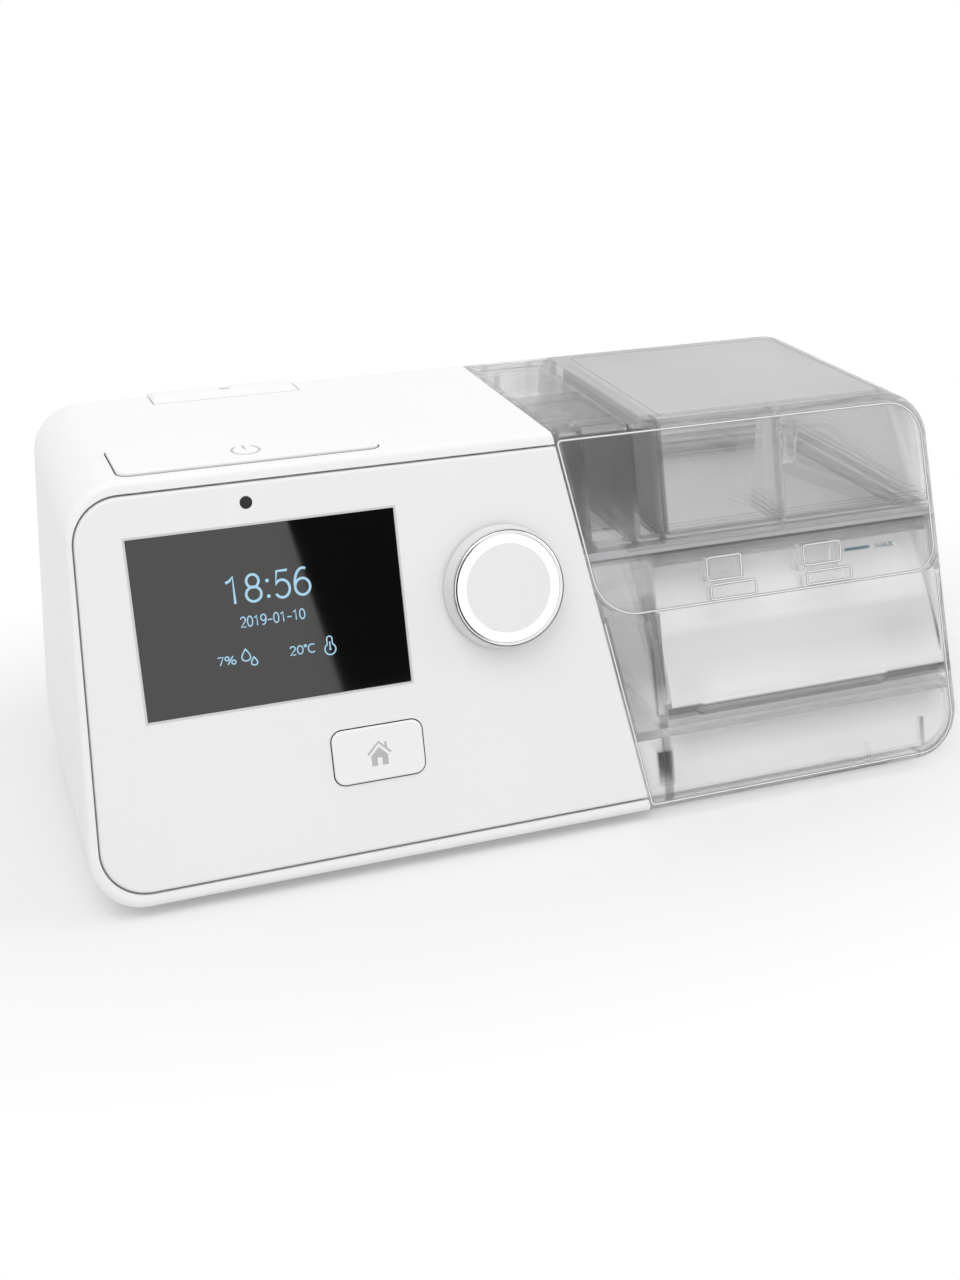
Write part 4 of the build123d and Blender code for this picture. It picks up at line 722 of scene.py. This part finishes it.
def drop_path(x, y, half_width, half_height, steps=40):
    """Teardrop with its tip up."""
    points = []
    for index in range(steps):
        angle = 2 * math.pi * index / steps
        wide = math.sin(angle) * math.sin(angle / 2) ** DROP_POINT * DROP_FULLNESS
        points.append((x + half_width * wide, y + half_height * math.cos(angle)))
    return points, True


def thermometer_path(x, y, radius, stem, top):
    """Bulb with a round-ended stem."""
    mouth = math.degrees(math.asin(stem / radius))
    bulb = arc(x, y, radius, 90 + mouth, 450 - mouth)
    return bulb + arc(x, top - stem, stem, 0, 180, 12), True


def add_screen(materials):
    """Clock, date, humidity and temperature on the screen."""
    place = face_matrix(0.0, 0.0, GLASS_FRONT_N + SCREEN_LIFT)
    drawings = {name: (word_paths(words, x_range, v_range, width), width)
                for name, words, x_range, v_range, width in SCREEN_WORDS}
    x, v, _, stem, top = THERMOMETER
    mercury = [stroke((x, v), (x, top - 2 * stem)), ring(x, v, MERCURY_R, MERCURY_R)]
    drawings["screen_drops"] = ([drop_path(*values) for values in DROPS], ICON_LINE)
    drawings["screen_thermometer"] = ([thermometer_path(*THERMOMETER)], ICON_LINE)
    drawings["screen_mercury"] = (mercury, ICON_LINE)
    for name, (paths, width) in drawings.items():
        add_piece(name, lines(name, paths, width), place, materials["screen_light"],
                  "root")


def add_window_bevel_shade(materials):
    """Pale grey line around the window: painted shade of the window's bevel."""
    loops = [rounded_box(WINDOW_X, WINDOW_V, WINDOW_W / 2 + grow, WINDOW_H / 2 + grow, 0)
             for grow in (0.0, BEVEL_SHADE_W)]
    add_piece("window_painted_bevel_shade", plate("window_painted_bevel_shade", loops, BEVEL_SHADE_T),
              face_matrix(0.0, 0.0, BEVEL_SHADE_LIFT), materials["window_painted_bevel_shade"], "root")


def add_key_gap_shade(name, x, y, width, height, matrix, materials, body):
    """Dark plate in the gap around a key: painted shade of the gap."""
    loops = [rounded_box(x, y, width / 2 + grow, height / 2 + grow, KEY_R + grow)
             for grow in (0.0, GAP_SHADE_W)]
    add_piece(name, plate(name, loops, GAP_SHADE_T), matrix, materials["painted_recess_shade"],
              body)


def add_home_symbol(materials):
    """House symbol of the home key, and the painted shade in its gap."""
    place = face_matrix(HOUSE_X, HOUSE_V, HOME_FRONT_N)
    for name, mesh in (
        ("house_roof", lines("house_roof", [stroke(*HOUSE_ROOF)], HOUSE_LINE)),
        ("house_chimney", plate("house_chimney", [HOUSE_CHIMNEY])),
        ("house_walls", plate("house_walls", [HOUSE_WALLS])),
    ):
        add_piece(name, mesh, place, materials["key_print"], "home_key")
    add_key_gap_shade("home_key_gap_shade", HOME_X, HOME_V, HOME_W, HOME_H,
                face_matrix(0.0, 0.0, -GAP_SHADE_SINK), materials, "home_key")


def add_power_symbol(materials):
    """Ring with a bar on the power key, and the painted shade in its gap."""
    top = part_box("power_button")[1][2]
    symbol = [
        (arc(0.0, 0.0, POWER_ICON_R, 90 + POWER_ICON_GAP, 450 - POWER_ICON_GAP), False),
        stroke((0.0, POWER_BAR_LOW), (0.0, POWER_ICON_R + POWER_BAR_PAST)),
    ]
    place = Matrix.Translation((POWER_X * MM, FACE_FOOT.y + POWER_ICON_Y * MM, top))
    add_piece("power_symbol", lines("power_symbol", symbol, POWER_ICON_LINE), place,
              materials["key_print"], "power_key")
    sunk = top - (POWER_PROUD + GAP_SHADE_SINK) * MM
    place = Matrix.Translation((POWER_X * MM, FACE_FOOT.y + POWER_Y * MM, sunk))
    add_key_gap_shade("power_key_gap_shade", 0.0, 0.0, POWER_W, POWER_D, place, materials, "power_key")


def add_knob_seams(materials):
    """Dark seams on both sides of the knob's trim ring."""
    tilt = math.radians(FACE_TILT)
    for node, grow in (("knob_light_ring", SEAM_W / 2), ("knob_trim_ring", 0.0)):
        low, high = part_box(node)
        radius = (high[0] - low[0]) / 2 / MM + grow
        half_depth = (high[1] - low[1]) / 2 / MM
        half_thickness = (half_depth - radius * math.sin(tilt)) / math.cos(tilt)
        front = middle_of(node) + OUT_OF_FACE * (half_thickness + SEAM_LIFT) * MM
        circle = (arc(0.0, 0.0, radius, 0.0, 355.0, 71), True)
        add_piece(f"{node}_seam", lines(node, [circle], SEAM_W),
                  matrix_of(ACROSS, UP_FACE, OUT_OF_FACE, front),
                  materials["seam_grey"], "knob")


def add_finger_slot(materials):
    """Dark plate on the floor of the finger slot in the filter cover: painted shade of the recess.
    """
    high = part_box("filter_cover")[1]
    outline = rounded_box(
        0.0, 0.0, FINGER_W / 2 + FINGER_MARGIN, FINGER_D / 2 + FINGER_MARGIN, FINGER_R)
    place = Matrix.Translation(
        (FINGER_X * MM, high[1] - FINGER_BACK * MM, high[2] - FINGER_SINK * MM))
    add_piece("finger_slot_painted_shade", plate("finger_slot_painted_shade", [outline], FINGER_T), place,
              materials["painted_recess_shade"], "filter_door")


def add_level_mark(materials):
    """Water level line with its word on the front wall of the tub."""
    place = face_matrix(0.0, 0.0, TUB_FRONT_N)
    line = lines("level_line", [stroke(*LEVEL_LINE)], LEVEL_LINE_W)
    word = lines("level_word", word_paths(*LEVEL_WORD), LEVEL_WORD[-1])
    for name, mesh in (("level_line", line), ("level_word", word)):
        add_piece(name, mesh, place, materials["level_print"], "tank")


# ================================ painted edge highlights and shades of the tank ===

def tank_left(v):
    """Left edge of the tank's front at a height up the face."""
    return PARTITION_FOOT - PARTITION_SLOPE * v


def tank_right(v):
    return TANK_RIGHT_FOOT - TANK_RIGHT_SLOPE * v


def add_painted_edge(name, points, closed, materials, body):
    """White line of painted highlight along an edge of the clear plastic, over a wider dark line of
    painted shade.
    """
    for part, width, lift in (("painted_edge_shade", PAINTED_EDGE_SHADE_W, 0.0), ("bead", PAINTED_EDGE_LINE_W, PRINT_T)):
        add_piece(f"{name}_{part}", lines(part, [(points, closed)], width),
                  face_matrix(0.0, 0.0, lift), materials[part], body)


def add_front_painted_edges(materials):
    """Painted highlight and shade lines round the front of the tub and of the lid with its flap."""
    high = FLAP_LOW_V - FLAP_GAP
    low = TANK_LOW_V + FRONT_INSET
    add_painted_edge("tub_front", rounded([
        (tank_left(high) + EDGE_INSET, high, 0),
        (tank_left(low) + EDGE_INSET, low, SHARP_R),
        (tank_right(low) - FRONT_INSET, low, CORNER_R - FRONT_INSET),
        (tank_right(high) - FRONT_INSET, high, 0)]), False, materials, "tank")
    high = TANK_TOP_V - FRONT_INSET
    low = FLAP_LOW_V + EDGE_INSET
    add_painted_edge("lid_front", rounded([
        (tank_left(high) + EDGE_INSET, high, SHARP_R),
        (tank_left(low) + EDGE_INSET, low, CORNER_R),
        (tank_right(low) - FRONT_INSET, low, FLAP_RIGHT_R),
        (tank_right(high) - FRONT_INSET, high, CORNER_R - FRONT_INSET)]), True, materials, "lid")


def add_tank_painted_edges(materials):
    """Painted highlight and shade lines along the front and around the snap windows, and a painted
    shade line round the panel on the lid's top.
    """
    add_front_painted_edges(materials)
    for name, (x0, x1, v0, v1) in SNAP_WINDOWS:
        box = rounded_box((x0 + x1) / 2, (v0 + v1) / 2, (x1 - x0) / 2, (v1 - v0) / 2, SNAP_R)
        add_painted_edge(name, box, True, materials, "lid")
    top = Matrix.Translation((0.0, FACE_FOOT.y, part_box("tank_lid")[1][2]))
    add_piece("top_panel_bead", lines("top_panel_bead", [(rounded(TOP_PANEL), True)], PAINTED_EDGE_LINE_W),
              top, materials["painted_edge_shade"], "lid")


# ================================ camera, floor and light ================================

WHITE = (1.0, 1.0, 1.0, 1.0)
FLOOR_HALF = 6.0            # metres
FLOOR_COLOR = (0.84, 0.84, 0.84)
FLOOR_SHADE_SHAPE = (0.5, 1.0, 1.0)     # the object's shade on the floor is wider across
FLOOR_SHADE_EDGE = (0.09, 0.16)         # it fades between these distances
FLOOR_WHITE = (0.2, 1.0)                # share of plain white within it and beyond it
AMBIENT = 0.68
LIGHT_TARGET = (0, 0, 0.05)
LIGHTS = (                  # name, place, size and power
    ("key", (-0.4, -0.5, 1.5), 1.2, 9.5),
    ("side", (1.4, -0.2, 0.9), 1.0, 4.2),
)
CARD_COLOR = (0.004, 0.004, 0.004)
SCREEN_CARD_DISTANCE = 0.9
SCREEN_CARD_PLACES = (      # where the glass shows its corners, on the face
    (-71.1, 96.0), (-60.3, 44.0), (-20.0, 44.0), (-20.0, 96.0))
GLOSS_CARDS = (             # for arcs on the chrome ring; name and corners, in metres
    ("card_above",
     ((-0.9, -0.22, 1.1), (0.05, -0.22, 1.25), (0.05, 0.05, 1.25), (-0.9, 0.05, 1.1))),
    ("card_left",
     ((-0.3, -0.42, 0.0), (-0.3, -0.16, 0.0), (-0.3, -0.16, 0.05), (-0.3, -0.42, 0.05))),
)
TANK_CARDS = (              # for dark edges in clear plastic; name and the ends of the foot
    ("card_behind", (-1.0, 1.0), (1.0, 1.0)),
    ("card_beside_left", (-1.0, 1.0), (-1.0, -0.5)),
    ("card_beside_right", (1.0, 1.0), (1.0, -0.5)),
)
TANK_CARD_HEIGHTS = (0.25, 1.2)


def camera_axes():
    """Right, up and forward directions of the camera."""
    yaw, pitch, roll = (math.radians(angle) for angle in (CAMERA_YAW, CAMERA_PITCH, CAMERA_ROLL))
    forward = Vector((
        math.sin(yaw) * math.cos(pitch), math.cos(yaw) * math.cos(pitch), -math.sin(pitch)))
    level = Vector((math.cos(yaw), -math.sin(yaw), 0.0))
    upright = level.cross(forward)
    right = math.cos(roll) * level + math.sin(roll) * upright
    up = math.cos(roll) * upright - math.sin(roll) * level
    return right, up, forward


def add_camera():
    right, up, forward = camera_axes()
    data = bpy.data.cameras.new("camera")
    data.lens = LENS
    data.sensor_width = SENSOR
    camera = bpy.data.objects.new("camera", data)
    foot = Vector((0.0, FACE_FOOT.y, 0.0))
    camera.matrix_world = matrix_of(right, up, -forward, foot + MM * Vector(CAMERA_PLACE))
    bpy.context.scene.collection.objects.link(camera)
    bpy.context.scene.camera = camera


def seen_directly(tree):
    """1 for rays from the camera, from gloss and through clear plastic."""
    rays = tree.nodes.new("ShaderNodeLightPath").outputs
    seen = math_node(tree, "MAXIMUM", rays["Is Camera Ray"], rays["Is Transmission Ray"])
    return math_node(tree, "MAXIMUM", seen, rays["Is Glossy Ray"])


def mix_white(tree, share, shaded, white):
    """Mixes the white shader over the shaded one by a share."""
    mix = tree.nodes.new("ShaderNodeMixShader")
    for socket, source in zip(mix.inputs, (share, shaded, white)):
        tree.links.new(source, socket)
    return mix.outputs[0]


def white_with_distance(tree):
    """Share of plain white in the floor: less beside the object, where its shadow lies."""
    place = tree.nodes.new("ShaderNodeTexCoord").outputs["Object"]
    place = vector_math(tree, "MULTIPLY", place, FLOOR_SHADE_SHAPE)["Vector"]
    distance = vector_math(tree, "LENGTH", place)["Value"]
    return map_range(tree, distance, FLOOR_SHADE_EDGE, FLOOR_WHITE)


def add_sheet(name, corners, material):
    """Flat four-cornered piece of the studio."""
    mesh = bpy.data.meshes.new(name)
    mesh.from_pydata([tuple(corner) for corner in corners], [], [(0, 1, 2, 3)])
    mesh.materials.append(material)
    sheet = bpy.data.objects.new(name, mesh)
    bpy.context.scene.collection.objects.link(sheet)
    return sheet


def add_floor():
    """White floor that keeps the object's shadow."""
    material = new_material("floor", FLOOR_COLOR, 0.9, Specular_IOR_Level=0.1)
    tree = material.node_tree
    glow = tree.nodes.new("ShaderNodeEmission")
    share = math_node(tree, "MULTIPLY", seen_directly(tree), white_with_distance(tree))
    surface = mix_white(tree, share, shader_of(material).outputs[0], glow.outputs[0])
    tree.links.new(surface, tree.nodes["Material Output"].inputs[0])
    half = FLOOR_HALF
    corners = ((-half, -half, 0), (half, -half, 0), (half, half, 0), (-half, half, 0))
    floor = add_sheet("floor", corners, material)


def set_world():
    """Soft light from all around, and plain white where it is seen."""
    world = bpy.data.worlds.new("studio")
    bpy.context.scene.world = world
    world.use_nodes = True
    tree = world.node_tree
    ambient = tree.nodes["Background"]
    ambient.inputs["Color"].default_value = WHITE
    ambient.inputs["Strength"].default_value = AMBIENT
    white = tree.nodes.new("ShaderNodeBackground")
    white.inputs["Color"].default_value = WHITE
    surface = mix_white(tree, seen_directly(tree), ambient.outputs[0], white.outputs[0])
    tree.links.new(surface, tree.nodes["World Output"].inputs[0])


def add_lights():
    for name, place, size, power in LIGHTS:
        data = bpy.data.lights.new(name, "AREA")
        data.size = size
        data.energy = power
        light = bpy.data.objects.new(name, data)
        turn = (Vector(LIGHT_TARGET) - Vector(place)).to_track_quat("-Z", "Y")
        light.matrix_world = Matrix.Translation(place) @ turn.to_matrix().to_4x4()
        bpy.context.scene.collection.objects.link(light)


def add_card(name, corners, through=False):
    """Black studio card that only gloss shows, or only the bent rays in clear plastic."""
    card = add_sheet(name, corners, new_material(name, CARD_COLOR, 1.0))
    card.visible_camera = False
    card.visible_diffuse = False
    card.visible_shadow = False
    card.visible_glossy = not through
    card.visible_transmission = through


def add_screen_card():
    """Card whose reflection darkens the right part of the screen glass."""
    camera = bpy.context.scene.camera.matrix_world.translation
    corners = []
    for x, v in SCREEN_CARD_PLACES:
        point = on_face(x, v, GLASS_FRONT_N)
        ray = (point - camera).normalized()
        ray = ray - 2 * ray.dot(OUT_OF_FACE) * OUT_OF_FACE
        corners.append(point + ray * SCREEN_CARD_DISTANCE)
    add_card("card_screen", corners)


def add_cards():
    """Cards for the screen and the chrome ring, and around the tank."""
    add_screen_card()
    for name, corners in GLOSS_CARDS:
        add_card(name, corners)
    low, high = TANK_CARD_HEIGHTS
    for name, start, end in TANK_CARDS:
        add_card(name, [(*start, low), (*end, low), (*end, high), (*start, high)], through=True)


# ================================ main ================================

materials = make_materials()
dress_nodes(materials)
add_screen(materials)
add_window_bevel_shade(materials)
add_home_symbol(materials)
add_power_symbol(materials)
add_knob_seams(materials)
add_finger_slot(materials)
add_level_mark(materials)
add_tank_painted_edges(materials)
add_camera()
add_floor()
set_world()
add_lights()
add_cards()

scene = bpy.context.scene
scene.view_settings.view_transform = "Standard"
